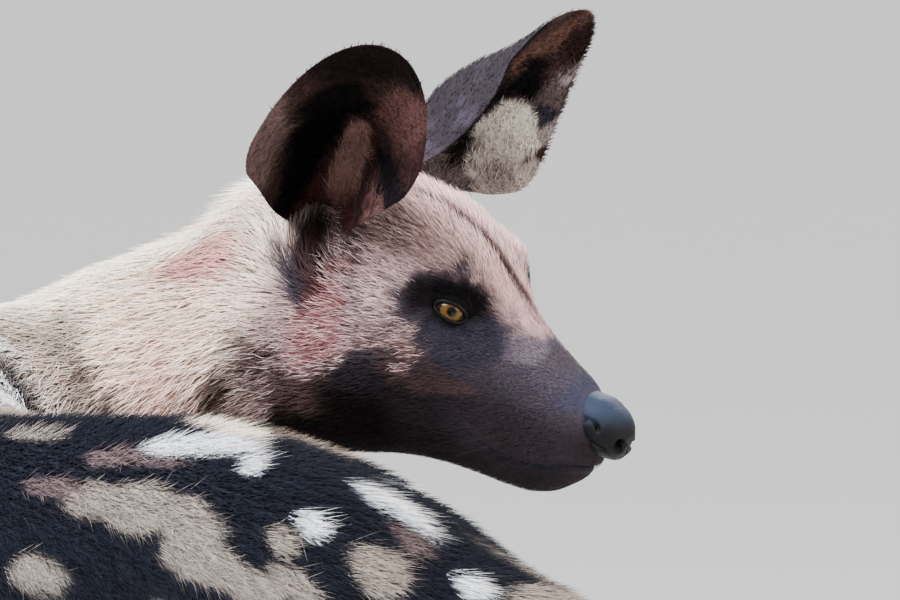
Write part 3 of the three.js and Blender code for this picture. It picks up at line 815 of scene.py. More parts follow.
# along, around, half length, half width, tilt in degrees, tone
RUMP_PATCHES = [
    (130, 85, 20, 7, 0, "tan"), (262, 47, 34, 6, 0, "grey"), (226, 3, 31, 10, 0, "cream"),
    (220, 30, 36, 10, 16, "white"), (180, 36, 9, 8, 0, "white"), (104, 12, 30, 9, 0, "white"),
    (82, 28, 12, 6, 0, "grey"), (130, 54, 11, 7, 0, "white"), (40, 30, 10, 8, 0, "white"),
    (242, 73, 46, 11, 0, "tan"), (196, 82, 22, 11, 10, "tan"), (172, 93, 40, 8, 0, "tan"),
    (141, 70, 10, 8, 0, "tan"), (310, 66, 20, 5, 0, "grey"), (300, 108, 16, 9, 0, "tan"),
    (84, 56, 16, 13, 10, "tan"), (352, 30, 26, 5, 0, "tan"), (4, 16, 20, 26, 0, "tan"),
]
NECK_PATCHES = [
    (874, -100, 30, 20, 20, "tan"), (878, -114, 26, 14, 0, "brown"), (852, -108, 14, 12, 0, "brown"),
    (738, -40, 26, 14, 25, "tan"), (738, -66, 10, 12, 25, "brown"), (752, -88, 16, 12, 20, "brown"),
    (722, -78, 20, 12, 0, "tan"), (652, -64, 16, 34, 0, "black"), (700, -34, 16, 7, 30, "tan"),
    (846, -42, 27, 13, -30, "blush"), (806, -86, 11, 26, 0, "pink cream"),
]


def patch(along, around, row, ragged):
    at, beside, length, width, tilt, _ = row
    c, s = math.cos(math.radians(tilt)), math.sin(math.radians(tilt))
    x, y = along - at, around - beside
    u, v = (c * x + s * y) / length, (c * y - s * x) / width
    return rise(np.hypot(u, v) + ragged * 8 / min(length, width), 1.2, 0.82)


def tone_of(tone):
    """A named tone, a hex colour or ready colours, as linear values."""
    if isinstance(tone, str):
        return linear(tone) if tone.startswith("#") else TONES[tone]
    return tone


def plain(tone, count):
    return np.tile(tone_of(tone), (count, 1))


def lay(colour, tone, mask):
    return colour + (tone_of(tone) - colour) * mask[:, None]


def paint(colour, *coats):
    """Coats of (tone, mask), laid one over the other."""
    for tone, mask in coats:
        colour = lay(colour, tone, mask)
    return colour


def mottle(p, white=0.56, tan=0.5, seed=3):
    """Black ground with tan clouds and white blots."""
    warp = p + 14 * (stack(*(noise(p, 30, seed + k) for k in (20, 21, 22))) - 0.5)
    colour = lay(plain("black", len(p)), "tan", rise(clouds(warp, 62, seed), tan, tan + 0.03))
    colour = lay(colour, "ochre", 0.5 * rise(clouds(warp, 90, seed + 8), 0.52, 0.6) * (colour[:, 0] > 0.1))
    return lay(colour, "white", rise(clouds(warp, 48, seed + 4), white, white + 0.025))


def torso_colour(p, place):
    s, w = place["along"], place["around"]
    ragged = clouds(p, 16, 9) - 0.5
    seen = rise(w, -26, -8) * rise(w, 128, 108) * rise(s, 420, 385)
    patches = ((row[-1], patch(s, w, row, ragged) * seen) for row in RUMP_PATCHES)
    return paint(mottle(p, 0.58, 0.5, 3), ("black", seen), *patches)


def neck_colour(p, place):
    s, w = place["along"], place["around"]
    ragged = clouds(p, 18, 31) - 0.5
    pink = (0.35 + 0.4 * rise(clouds(p, 46, 33), 0.45, 0.65)) * rise(np.abs(w), 22, 50)
    return paint(
        plain("cream", len(p)),
        ("pink cream", pink),
        ("tan", rise(clouds(p, 40, 36), 0.5, 0.6) * rise(np.abs(w), 40, 110) * 0.7),
        ("tan", 0.6 * rise(s + 70 * ragged, 760, 715)),
        (mottle(p, 0.6, 0.44, 11), rise(s + 60 * ragged, 706, 660)),
        ("black", rise(np.abs(w) + 50 * ragged, 132, 156)),
        *((row[-1], 0.8 * patch(s, w, row, 1.5 * ragged)) for row in NECK_PATCHES),
    )


# height of the edge of the dark jaw and muzzle, at distances forward along the head
DARK_EDGE_ROWS = [
    [30, -84], [44, -56], [55, -41], [66, -28], [78, -17], [90, -4], [103, 1], [114, -2],
    [122, 8], [130, 20], [142, 32], [152, 34], [168, 33], [180, 46], [220, 46],
]
DARK_EDGE = curve(DARK_EDGE_ROWS)


def spot(x, z, at, size, tilt=0.0, ragged=0.0):
    """A soft oval mark on the side of the head."""
    c, s = math.cos(math.radians(tilt)), math.sin(math.radians(tilt))
    u, v = c * (x - at[0]) + s * (z - at[1]), c * (z - at[1]) - s * (x - at[0])
    # a dark tone covers a pale one before it is fully laid, so the edge is pushed outwards
    return 1 - (1 - rise(np.hypot(u / size[0], v / size[1]) + ragged, 1.3, 0.7)) ** 2


def head_colour(p, q):
    x, y, z = q.T
    side = np.abs(y)
    ragged = clouds(p, 12, 41) - 0.5
    fine = clouds(p, 6, 47) - 0.5
    flank = rise(side, 16, 30)
    colour = paint(
        plain("grizzle", len(p)),
        ("pale brow", rise(z + 0.5 * (x - 100) + 24 * ragged, 46, 72)),
        ("pale brow", 0.4 * spot(x, z, (92, 38), (20, 12), 0, 0.8 * ragged)),
        ("cheek", 0.9 * rise(z + 26 * ragged, 24, 6) * rise(x, 58, 72)),
        ("grey", 0.5 * rise(clouds(p, 9, 44), 0.46, 0.62) * rise(z, 56, 40) * rise(x, 20, 50)),
        ("grey", 0.5 * rise(x + 20 * ragged, 78, 52) * rise(z, 26, 42)),
        ("umber", 0.8 * spot(x, z, (50, 51), (19, 13), -30, 0.8 * ragged) * flank),
        ("rose", 0.85 * spot(x, z, (57, 0), (14, 33), -8, 0.9 * ragged) * flank),
        ("cream", 0.9 * rise(x + 14 * ragged, 28, 14) * rise(z, -30, -4)),
    )
    # the dark jaw and muzzle, black under the cheek and greyer towards the ridge
    lower = paint(
        plain("mauve", len(p)),
        ("muzzle", rise(z + 12 * fine, 20, -16)),
        ("throat", 0.5 * rise(z + 10 * fine, -24, -46)),
        ("throat", rise(x + 20 * ragged, 120, 100) * rise(z, -18, -36)),
        ("jaw brown", 0.9 * rise(x + 14 * ragged, 76, 60) * rise(z, -58, -44)),
        # bluish over the top of the muzzle next to the nose: painted sky sheen
        ("steel", 0.8 * rise(x + 10 * ragged, 182, 202) * rise(z, -4, 8)),
        ("frosted", 0.5 * spot(x, z, (163, 25), (11, 8), -20, 0.9 * ragged)),
        ("umber", 0.5 * spot(x, z, (132, -8), (15, 5), 10, 1.2 * ragged)),
    )
    edge = DARK_EDGE(x)[:, 0] - z + 24 * ragged + 8 * fine
    # the dark furrow down the forehead
    off = np.abs(y + 10 - 0.3 * (x - 86) + 6 * fine)
    stripe = rise(off, 6.5, 1.5) * rise(x, 62, 80) * rise(x, 158, 142) * rise(z, 20, 40)
    return paint(
        colour,
        ("jaw brown", 0.6 * rise(edge, -20, -4) * rise(x, 120, 96)),
        (lower, 0.98 * rise(edge, -8, 4)),
        ("jaw brown", 0.5 * spot(x, z, (117, -2), (16, 10), 0, 0.8 * ragged) * flank),
        ("umber", 0.4 * spot(x, z, (104, 9), (15, 10), 0, 0.9 * ragged) * flank),
        # round the eye: slate below, black at the lids
        ("slate", 0.95 * spot(x, z, (133, 21), (21, 15), -10, 0.5 * ragged) * flank),
        ("slate", 0.95 * spot(x, z, (124, 38), (28, 20), -10, 0.9 * ragged) * flank),
        ("eye patch", 0.97 * spot(x, z, (123, 40), (21, 14), -8, 0.6 * ragged) * flank),
        # the dark red-brown foot of the ear, a slate strip behind it, the brown corner of the jaw
        ("ear root", 0.9 * spot(x, z, (37, 36), (25, 12), -60, 0.7 * ragged) * rise(side, 34, 46)),
        ("slate", 0.9 * spot(x, z, (29, 23), (24, 5.5), -40, 0.3 * ragged) * rise(side, 38, 50)),
        ("jaw brown", 0.9 * spot(x, z, (34, -38), (26, 17), -20, 0.9 * ragged) * flank),
        ("umber", 1 - (1 - stripe) ** 2),
    )


def leg_colour(p, place, name):
    hind = "hind" in name
    z = place["z"]
    colour = mottle(p, 0.56, 0.49, 5 if hind else 7)
    pale = mottle(p, 0.45, 0.38, 15)
    colour = lay(colour, pale, rise(z + 60 * (clouds(p, 30, 51) - 0.5), 260, 190))
    return lay(colour, "brown", 0.5 * rise(z, 40, 20))


def tail_colour(p, place):
    t = place["t"] + 0.07 * (clouds(p, 14, 61) - 0.5)
    return paint(plain("tan", len(p)), ("black", rise(t, 0.3, 0.34)), ("white", rise(t, 0.55, 0.6)))


def markings(p, found, share):
    paints = {
        "torso": torso_colour(p, found["torso"]),
        "neck": neck_colour(p, found["neck"]),
        "head": head_colour(p, found["head"]["point"]),
        "tail": tail_colour(p, found["tail"]),
    }
    for name in legs:
        paints[name] = leg_colour(p, found[name], name)
    sharp = {name: share[name] ** 2.5 for name in paints}
    total = sum(sharp.values())
    return sum(paints[name] * (sharp[name] / total)[:, None] for name in paints)


# %% [markdown]
# ## Lids, lips and the line of the mouth
# The skin sinks by the depth of the coat. Round each eye it is then drawn over the ball to the
# almond of the lids, and along the mouth it is pressed into a groove that ends under the cheek.

# %% The eye's own frame and the almond between the lids
EYE_TURN, EYE_LIFT = 58, 6
ALMOND_HALF = 9.6


def eye_frame(side):
    """Rows: towards the nose, up, and out of the socket."""
    turned, lift = math.radians(EYE_TURN), math.radians(EYE_LIFT)
    out = unit(np.array([math.cos(turned), side * math.sin(turned), math.sin(lift)]))
    nose = unit(np.cross(np.cross(out, [1, 0, 0]), out))
    up = np.cross(nose, out) * (-side)
    up = up if up[2] > 0 else -up
    nose = unit(np.array([1, 0, 0]) - out * out[0] - up * up[0])
    return np.array([nose, up, out])


def lids(x):
    """Heights of the upper and lower lid at a distance towards the nose."""
    u = np.clip(x / ALMOND_HALF, -1, 1)
    line = 0.6 - 1.9 * (u + 1) / 2
    arch = np.sqrt(np.maximum(1 - u * u, 0))
    return line + 5.4 * arch, line - 4.5 * arch


def almond(q, side, fade):
    """Places in the eye's frame, their distance, and how far they lie inside the almond."""
    local = (q - eye_centre(side)) @ eye_frame(side).T
    distance = np.linalg.norm(local, axis=1)
    scale = EYE["radius"] / np.maximum(distance, 1)
    x, y = local[:, 0] * scale, local[:, 1] * scale
    upper, lower = lids(x)
    beside = np.maximum(np.abs(x) - ALMOND_HALF, 0) + 6 * rise(-local[:, 0], *fade)
    return local, distance, scale, np.minimum(upper - y, y - lower) - beside


def shape_lids(q, side):
    local, distance, _, inside = almond(q, side, (16, 22))
    lid = EYE["radius"] + 1.1 + 1.3 * rise(-inside, 0, 4)
    near = (local[:, 2] > 0) & (distance < 26)
    drawn = lid + (distance - lid) * rise(-inside, 1, 6)
    wanted = np.where(inside > 0, EYE["radius"] - 2.5, drawn)
    factor = np.where(near, wanted / np.maximum(distance, 1), 1)
    return eye_centre(side) + (local * factor[:, None]) @ eye_frame(side)


MOUTH_LINE = curve([[132, -20], [152, -31], [172, -36], [193, -34], [210, -29], [222, -27]])


def mouth_gap(q):
    return q[:, 2] - MOUTH_LINE(q[:, 0])[:, 0]


def shape_mouth(q, normal):
    gap = mouth_gap(q)
    along = rise(q[:, 0], 128, 140) * rise(q[:, 0], 224, 216)
    groove = 2.0 * np.exp(-((gap / 1.7) ** 2)) * along
    lip = 1.1 * np.exp(-(((gap - 4.5) / 3.2) ** 2)) * along
    return q + normal * (lip - groove)[:, None]


# %% The skin as a mesh
def mesh_from(name, points, faces):
    """A smooth mesh from millimetre points and an array of triangles or quads."""
    data = bpy.data.meshes.new(name)
    count, corners = faces.shape
    data.vertices.add(len(points))
    data.vertices.foreach_set("co", metres(points).astype(np.float32).ravel())
    data.loops.add(count * corners)
    data.loops.foreach_set("vertex_index", np.ascontiguousarray(faces, np.int32).ravel())
    data.polygons.add(count)
    data.polygons.foreach_set("loop_start", np.arange(0, count * corners, corners, dtype=np.int32))
    data.polygons.foreach_set("use_smooth", np.ones(count, bool))
    data.update(calc_edges=True)
    return link(name, data)


def point_normals(points, quads):
    a, b, c, d = (points[quads[:, k]] for k in range(4))
    facing = np.cross(c - a, d - b)
    total = np.zeros_like(points)
    for k in range(4):
        np.add.at(total, quads[:, k], facing)
    return unit(total)


def colour_points(data, colours, name="coat"):
    layer = data.attributes.new(name, "FLOAT_COLOR", "POINT")
    values = np.concatenate([colours, np.ones((len(colours), 1))], 1)
    layer.data.foreach_set("color", values.astype(np.float32).ravel())


normals = point_normals(skin_points, skin_quads)
if ((skin_points - skin_points.mean(0)) * normals).sum() < 0:
    skin_quads, normals = skin_quads[:, ::-1], -normals
found, share = places(skin_points)
depth = coat_depth(found, share)
skin = skin_points - normals * depth[:, None]
q = to_head(skin)
on_head = found["head"]["near"] < 1.3
shaped = shape_mouth(q, normals @ HEAD_TURN)
for side in (1, -1):
    shaped = shape_lids(shaped, side)
skin[on_head] = from_head(shaped)[on_head]
skin[:, 2] = np.maximum(skin[:, 2], 0.4)
skin_colours = markings(skin_points, found, share)
lip_dark = np.exp(-((mouth_gap(q) / 2.2) ** 2)) * on_head * rise(q[:, 0], 128, 140)
skin_colours = lay(skin_colours, "black", lip_dark)
print("coat depth from", depth.min().round(1), "to", depth.max().round(1), "mm")

# %% [markdown]
# ## The hide and the hair material
# Fur is keratin: matt, with hardly any gloss of its own. The hide below has the same markings,
# painted a little darker as shade between the tufts, and a fine bump as close as hair roots, so a
# gap between two tufts looks like depth and not like paint.


# %% Fur materials that take their colour from the markings
def fur_material(name, grain_mm, bump_mm, rough):
    made, tree, shader = material(name, Roughness=rough, Specular_IOR_Level=0.04)
    tone = add(tree, "ShaderNodeAttribute", {"attribute_name": "coat"}).outputs["Color"]
    grain = spots(tree, "ShaderNodeTexNoise", grain_mm, Detail=3.0).outputs["Fac"]
    spread = add(tree, "ShaderNodeMapRange", {"To Min": 0.62, "To Max": 1.3}, Value=grain)
    mixed = {"data_type": "RGBA", "blend_type": "MULTIPLY", 0: 1.0, 6: tone, 7: spread.outputs[0]}
    shade = add(tree, "ShaderNodeMix", mixed)
    tree.links.new(shade.outputs[2], shader.inputs["Base Color"])
    if bump_mm:
        relief(tree, shader, grain, 0.8, bump_mm)
    return made


hide_paint = fur_material("hide with short under-hair", 1.3, 1.0, 0.8)
hair_paint = fur_material("matt dog hair", 2.2, 0, 0.62)


# %% Finish of a piece: it rides on the body and hides the solids it replaces
def dress(piece, slot, *replaced):
    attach(piece, "root")
    if replaced:
        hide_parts(*replaced)
    return piece


hide = mesh_from("skin", skin, skin_quads)
# the hide takes 0.8 of the markings: painted shade in the gaps between the tufts
colour_points(hide.data, 0.8 * skin_colours)
hide.data.materials.append(hide_paint)
dress(hide, "body_coat", "head", "neck", "torso", "tail", *legs)
print("hide with", 2 * len(hide.data.polygons), "triangles")

# %% [markdown]
# ## Eyes
# The ball of the eye turns sideways out of the head. Rings round its line of sight hold the
# pupil, the amber iris with its fibres and dark rim, and the brown white of the eye. A clear
# coat stands for the wet cornea, which bulges a little between the lids.

# %% Eyeballs
IRIS, PUPIL = 6.7, 2.3


def eyeball(name, side):
    theta = np.radians(np.concatenate([np.linspace(1.2, 48, 46), np.linspace(52, 179, 24)]))
    phi = 2 * np.pi * np.arange(128) / 128
    radius = EYE["radius"] + 0.7 * np.exp(-((theta / 0.5) ** 2))
    across, out = (radius * np.sin(theta))[:, None], (radius * np.cos(theta))[:, None]
    local = stack(across * np.cos(phi), across * np.sin(phi), out)
    points, faces = closed(from_head(eye_centre(side) + local @ eye_frame(side)))
    flat = np.concatenate([local.reshape(-1, 3), [[0, 0, 11.5], [0, 0, -10.8]]])
    off = np.hypot(flat[:, 0], flat[:, 1] - 0.3)
    off = np.where(flat[:, 2] > 0, off, 11)
    angle = np.arctan2(flat[:, 1], flat[:, 0])
    fibre = noise(stack(12 * np.cos(angle), 12 * np.sin(angle), off * 0.35), 0.9, 70)
    amber = plain("#4a3515", len(flat))
    amber = paint(amber, ("#2d1f0a", 0.75 * fibre), ("#181004", rise(off, 3.6, 2.4)))
    colour = paint(
        plain("#241914", len(flat)),
        ("#0d0908", np.exp(-(((off - IRIS) / 0.9) ** 2))),
        (amber, rise(off, IRIS, IRIS - 0.8)),
        ("#050505", rise(off, PUPIL + 0.3, PUPIL - 0.1)),
    )
    ball = mesh_from(name.replace("eye", "eyeball"), points, faces)
    colour_points(ball.data, colour)
    ball.data.materials.append(eye_paint)
    return dress(ball, "eye", name)


eye_paint, tree, shader = material(
    "wet cornea over an amber iris",
    Roughness=0.6,
    Specular_IOR_Level=0.0,
    Coat_Weight=0.4,
    Coat_Roughness=0.02,
    Coat_IOR=1.34,
)
painted(tree, shader)
for name, side in (("eye_left", 1), ("eye_right", -1)):
    eyeball(name, side)


# %% Rims of the lids
def lid_rim(name, side):
    count, sides = 96, 10
    phi = 2 * np.pi * np.arange(count) / count
    x = ALMOND_HALF * np.cos(phi)
    upper, lower = lids(x)
    y = np.where(np.sin(phi) >= 0, upper, lower)
    thick = np.where(np.sin(phi) >= 0, 1.25, 0.85)
    radius = EYE["radius"] + 0.9
    middle = stack(x, y, np.sqrt(radius**2 - x**2 - y**2))
    out = unit(middle)
    along = unit(np.roll(middle, -1, 0) - np.roll(middle, 1, 0))
    local = tube(middle, out, np.cross(along, out), thick[:, None, None], sides)
    points = from_head(eye_centre(side) + local.reshape(-1, 3) @ eye_frame(side))
    i, k = np.meshgrid(np.arange(count), np.arange(sides), indexing="ij")
    here, there = i * sides, (i + 1) % count * sides
    turned = (k + 1) % sides
    faces = stack(here + k, here + turned, there + turned, there + k).reshape(-1, 4)
    rim = mesh_from(name, points, outward(points, faces))
    rim.data.materials.append(lid_paint)
    return dress(rim, "nose_skin")


lid_paint, tree, shader = material(
    "moist black lid skin", Base_Color=rgba("#040303"), Specular_IOR_Level=0.08, Roughness=0.5
)
relief(tree, shader, spots(tree, "ShaderNodeTexNoise", 0.67).outputs["Fac"], 0.4, 0.3)
for name, side in (("lid_rim_left", 1), ("lid_rim_right", -1)):
    lid_rim(name, side)
print("eyes and lids made")

# %% [markdown]
# ## Nose
# The nose pad is bare, wet leather: pebbled cells under a millimetre wide, round nostrils that
# open forwards with a slit that curls back, and a groove down the middle.


# %% Nose pad
def nose_pad(sides=132, count=110):
    low, high = NOSE_ROWS[0][0], NOSE_ROWS[-1][0]
    x = low + (high - low) * np.sin(np.linspace(0, np.pi / 2, count))
    row = curve(NOSE_ROWS)(x)
    across, up = section(row, ring_angles(sides))
    p = stack(x[:, None], across, up).reshape(-1, 3)
    out = unit((p - [212, 0, -3]) * [0.9, 1, 1.15])
    sink = np.zeros(len(p))
    # the wing of the nostril: a groove that runs from the pit back and up round the side
    wing = [213.5, -4.5] + [6.5, 6.0] * circle(np.radians(np.linspace(-80, 205, 40)))[14:]
    off = np.sqrt(((p[:, None, [0, 2]] - wing) ** 2).sum(-1).min(1))
    wing_depth = 2.6 * rise(off, 1.9, 0.5) * rise(p[:, 2], 3, -1) * rise(p[:, 0], 226, 221)
    for side in (1, -1):
        local = ((p - [230, side * 7.5, -8.5]) @ turn("z", side * 38)) / (10, 3.8, 4.6)
        pit = 5.5 * rise(np.linalg.norm(local, axis=1), 1.15, 0.5)
        slit = wing_depth * rise(side * p[:, 1], 5, 11)
        lower = ((p - [218, side * 15.0, -11.5]) @ turn("y", 8)) / (10, 5, 1.7)
        lower_slit = 3.4 * rise(np.linalg.norm(lower, axis=1), 1.2, 0.5)
        sink += np.maximum(np.maximum(pit, slit), lower_slit)
    sink += 1.1 * np.exp(-((p[:, 1] / 0.9) ** 2)) * rise(p[:, 0], 222, 229) * rise(p[:, 2], 2, -6)
    # the upper side is painted blue-grey as a painted sky reflection on the wet leather, and the pits and
    # slits are painted blacker as painted shade
    sky_sheen_on_top = rise(p[:, 2] - 0.25 * (p[:, 0] - 212), -6, 9)
    tone = paint(plain("#050506", len(p)), ("#1c2433", sky_sheen_on_top), ("#020202", rise(sink, 0.6, 3.0)))
    p = p - out * np.minimum(sink, 6)[:, None]
    points, faces = closed(from_head(p).reshape(count, sides, 3))
    return points, faces, np.vstack([tone, tone[:1], tone[-1:]])


points, faces, tones = nose_pad()
nose = mesh_from("nose_pad", points, faces)
colour_points(nose.data, tones)
nose_paint, tree, shader = material("wet nose leather", Specular_IOR_Level=0.09)
painted(tree, shader)
# pebbles of 0.9 mm, as on a real nose
cells = spots(tree, "ShaderNodeTexVoronoi", 0.9).outputs["Distance"]
damp = {"From Max": 0.8, "To Min": 0.46, "To Max": 0.7}
rough = add(tree, "ShaderNodeMapRange", damp, Value=cells)
tree.links.new(rough.outputs[0], shader.inputs["Roughness"])
relief(tree, shader, cells, 0.7, 0.3, invert=True)
nose.data.materials.append(nose_paint)
dress(nose, "nose_skin", "nose")
print("nose pad with", len(faces), "triangles")

# %% [markdown]
# ## Ears
# Each ear is a round, upright cup that is rolled in at its edges, thin as leather. One formula
# gives its inner and its outer face, and a rim joins them. Ridges run up inside from the base.

# %% The cup of the ear
def ear_local(name, share, angle, wall=0.0):
    """Points in the ear's own frame, with how far across and how high they are."""
    twist, length, slant, foot, taper = EARS[name][3]
    height = 0.5 + 0.5 * share * np.sin(angle)
    side = np.cos(angle)
    narrow = np.where(side < 0, *foot) * np.abs(side) * rise(height, 0.62, 0.25)
    oval_half = EAR["half"] * (0.46 + 0.54 * np.clip(height / 0.45, 0, 1) ** 0.8)
    across = share * side * oval_half * (1 - taper * rise(height, 0.6, 1)) * (1 - narrow)
    curl = EAR["cup"] * (1.15 - 0.75 * height) * (across / EAR["half"]) ** 2
    deep = EAR["dish"] + (EAR["blade"] - EAR["dish"]) * rise(height, 0.42, 0.76)
    ridge = sum(
        lift * np.exp(-(((across - at - lean * (height - 0.3)) / 3.2) ** 2) - ((height - 0.28) / 0.17) ** 2)
        for at, lean, lift in ((20, -30, 4.5), (5, 10, 3.5), (-16, 34, 3.0))
    )
    sunk = EAR["sink"] * np.clip(1 - height / 0.38, 0, 1) ** 2
    turned = twist * across * np.clip(1 - height / 0.55, 0, 1)
    folds = ridge * (1 - share**6) if np.ndim(wall) == 0 else 0
    depth = curl - deep * (1 - share**2) + folds - wall - sunk + turned
    return stack(across, length * height - 12 + slant * across, depth), across, height


def ear_axes(name):
    root, up, facing = (np.array(v, float) for v in EARS[name][:3])
    up = unit(up)
    beside = unit(np.cross(up, facing))
    return root, np.array([beside, up, np.cross(beside, up)])


def ear_place(name, local):
    root, axes = ear_axes(name)
    return from_head(root + local @ axes)


def ear_mesh(name, sides=132, count=46):
    share = np.sin(np.linspace(0.03, 1, count) * np.pi / 2)[:, None]
    angle = ring_angles(sides)[None]
    wall = EAR["thick"] + (EAR["rim"] - EAR["thick"]) * share + 0 * angle
    inner = ear_local(name, share, angle)
    rim = ear_local(name, np.array([[1.012]]), angle, np.full((1, sides), EAR["rim"] / 2))
    outer = ear_local(name, share, angle, wall)
    rings, across, height = (np.concatenate([a, b, c[::-1]]) for a, b, c in zip(inner, rim, outer))
    points, faces = closed(ear_place(name, rings.reshape(-1, 3)).reshape(rings.shape))
    across, height = np.append(across, [0, 0]), np.append(height, [0.5, 0.5])
    within = np.concatenate([np.ones(count * sides), np.ones(sides), np.zeros(count * sides), [1, 0]])
    return points, faces, across, height, within


# %% Tones of the ears
def blob(across, height, at, size):
    return rise(np.hypot((across - at[0]) / size[0], (height - at[1]) / size[1]), 1.2, 0.75)


# across, height, half width, half height, tone, strength; later rows lie over earlier ones
EAR_TONES = {
    "ear_right": [
        (0, 0.97, 60, 0.15, "#140c0c", 1.0), (44, 0.72, 13, 0.3, "#2a1918", 1.0),
        (28, 0.68, 15, 0.16, "#4f3532", 0.85), (-44, 0.5, 15, 0.3, "#5c4947", 0.9),
        (37, 0.31, 14, 0.1, "#5f443f", 0.9), (4, 0.12, 24, 0.11, "#402523", 0.9),
        (9, 0.34, 9, 0.17, "#8d6a62", 0.9), (33, 0.42, 11, 0.07, "#0f0d11", 0.95),
        (-9, 0.67, 20, 0.15, "#040202", 1.0), (-14, 0.47, 14, 0.18, "#040202", 1.0),
        (-16, 0.24, 9, 0.16, "#060404", 1.0),
    ],
    "ear_left": [
        (0, 0.98, 60, 0.1, "#211514", 1.0), (-8, 0.8, 9, 0.2, "#4a342d", 0.9),
        (24, 0.82, 10, 0.1, "#4c4142", 0.9), (22, 0.22, 60, 0.2, "#5f5455", 0.8),
        (27, 0.62, 13, 0.1, "#cfc7be", 0.95), (37, 0.53, 13, 0.1, "#b3aaa3", 0.9),
        (46, 0.5, 12, 0.1, "#857673", 0.9), (8, 0.74, 14, 0.075, "#040304", 1.0),
        (30, 0.74, 7, 0.04, "#1f1e28", 0.9), (21, 0.9, 4, 0.07, "#8b7f80", 0.8),
        (37, 0.77, 4, 0.08, "#9a8e8c", 0.8), (47, 0.62, 4, 0.14, "#b0a39d", 0.7),
        (9, 0.56, 8, 0.11, "#080606", 0.95), (20, 0.43, 10, 0.08, "#080606", 0.95),
        (-42, 0.55, 11, 0.55, "#080606", 1.0),
    ],
}


def ear_colour(name, p, across, height, within):
    ragged = clouds(p, 9, 81) - 0.5
    inner = plain("#2f211f", len(p))
    for a, h, half_a, half_h, tone, strength in EAR_TONES[name]:
        mask = blob(across + 9 * ragged, height + 0.1 * ragged, (a, h), (half_a, half_h))
        inner = lay(inner, tone, strength * mask)
    return paint(
        plain("#2a2529", len(p)),
        ("#413b45", 0.6 * rise(clouds(p, 11, 84), 0.45, 0.7) * rise(height, 0.75, 0.3)),
        ("#120c0d", rise(height, 0.62, 0.9)),
        (inner, within),
    )


for name in EARS:
    points, faces, across, height, within = ear_mesh(name)
    ear = mesh_from(name + "_skin", points, faces)
    # the ear's hide takes 0.75 of its tones: painted shade under the ear hair
    colour_points(ear.data, 0.75 * ear_colour(name, points, across, height, within))
    ear.data.materials.append(hide_paint)
    dress(ear, "ear_coat", name)
print("each ear has", len(faces), "triangles")

# %% [markdown]
# ## Claws
# Four blunt dark claws on each foot grow out of the toes and bend down to the ground, as a
# running dog's do, which wear them short.


# %% Claws
def claw(leg, x, y, length):
    tip_x = x + length
    start, middle, tip = np.array([[tip_x - 8, y, 12.5], [tip_x + 3, y, 11.5], [tip_x + 8.5, y, 4.2]])
    t = np.linspace(0, 1, 14)[:, None]
    at = start * (1 - t) ** 2 + 2 * middle * t * (1 - t) + tip * t**2
    side = np.array([0.0, 1.0, 0.0])
    normal = np.cross(unit(np.gradient(at, axis=0)), side)
    radius = 3.3 * (1 - t**1.6) ** 0.6 + 0.25
    rings = tube(at, 0.78 * side, normal, radius[:, None], 16)
    return closed(leg.foot(rings.reshape(-1, 3)).reshape(rings.shape))


claw_paint, tree, shader = material("worn dark horn", Roughness=0.42)
# growth lines about 0.7 mm apart
lines = spots(tree, "ShaderNodeTexNoise", 1 / 1.4, Detail=2.0).outputs["Fac"]
stops = {0: (0.3, rgba("#15110f")), 1: (0.8, rgba("#3b332d"))}
tone = add(tree, "ShaderNodeValToRGB", {"stops": stops}, Fac=lines)
tree.links.new(tone.outputs["Color"], shader.inputs["Base Color"])
relief(tree, shader, lines, 0.3, 0.2)
for name, leg in legs.items():
    four = joined(claw(leg, x, y, leg.paw["toe"][0]) for x, y in leg.toes())
    claws = mesh_from("claws_" + name[4:], *four)
    claws.data.materials.append(claw_paint)
    dress(claws, "nose_skin")
print("claws on four feet")

# %% [markdown]
# ## The coat in tufts
# A tuft is a thin blade with three sides that tapers to a point. Its root is sunk in the hide, it
# lies back along the body and its tip stands a few millimetres off. Arrays make tens of
# thousands of them at once. Roots are scattered over the skin, one to each cell of a fine grid,
# so they are even without rows.


# %% Roots scattered over the skin
def scatter(quads, spacing, seed):
    """Skin values at random places, one place to each cell: returns a function that mixes them."""
    rng = np.random.default_rng(seed)
    a, b, c, d = (skin[quads[:, k]] for k in range(4))
    area = np.linalg.norm(np.cross(c - a, d - b), axis=1) / 2
    pick = rng.choice(len(quads), int(2.6 * area.sum() / spacing**2), p=area / area.sum())
    u, v = rng.random((2, len(pick), 1))
    weights = np.stack([(1 - u) * (1 - v), u * (1 - v), u * v, (1 - u) * v])
    at = sum(w * skin[quads[pick, k]] for k, w in enumerate(weights))
    cell = np.floor(at / spacing).astype(np.int64) @ np.array([73856093, 19349663, 83492791])
    first = np.sort(np.unique(cell, return_index=True)[1])
    corners, weights = quads[pick[first]], weights[:, first]
    return lambda values: sum(w * values[corners[:, k]] for k, w in enumerate(weights))


# %% Blades from arrays
ROOT_DEPTH = 0.7


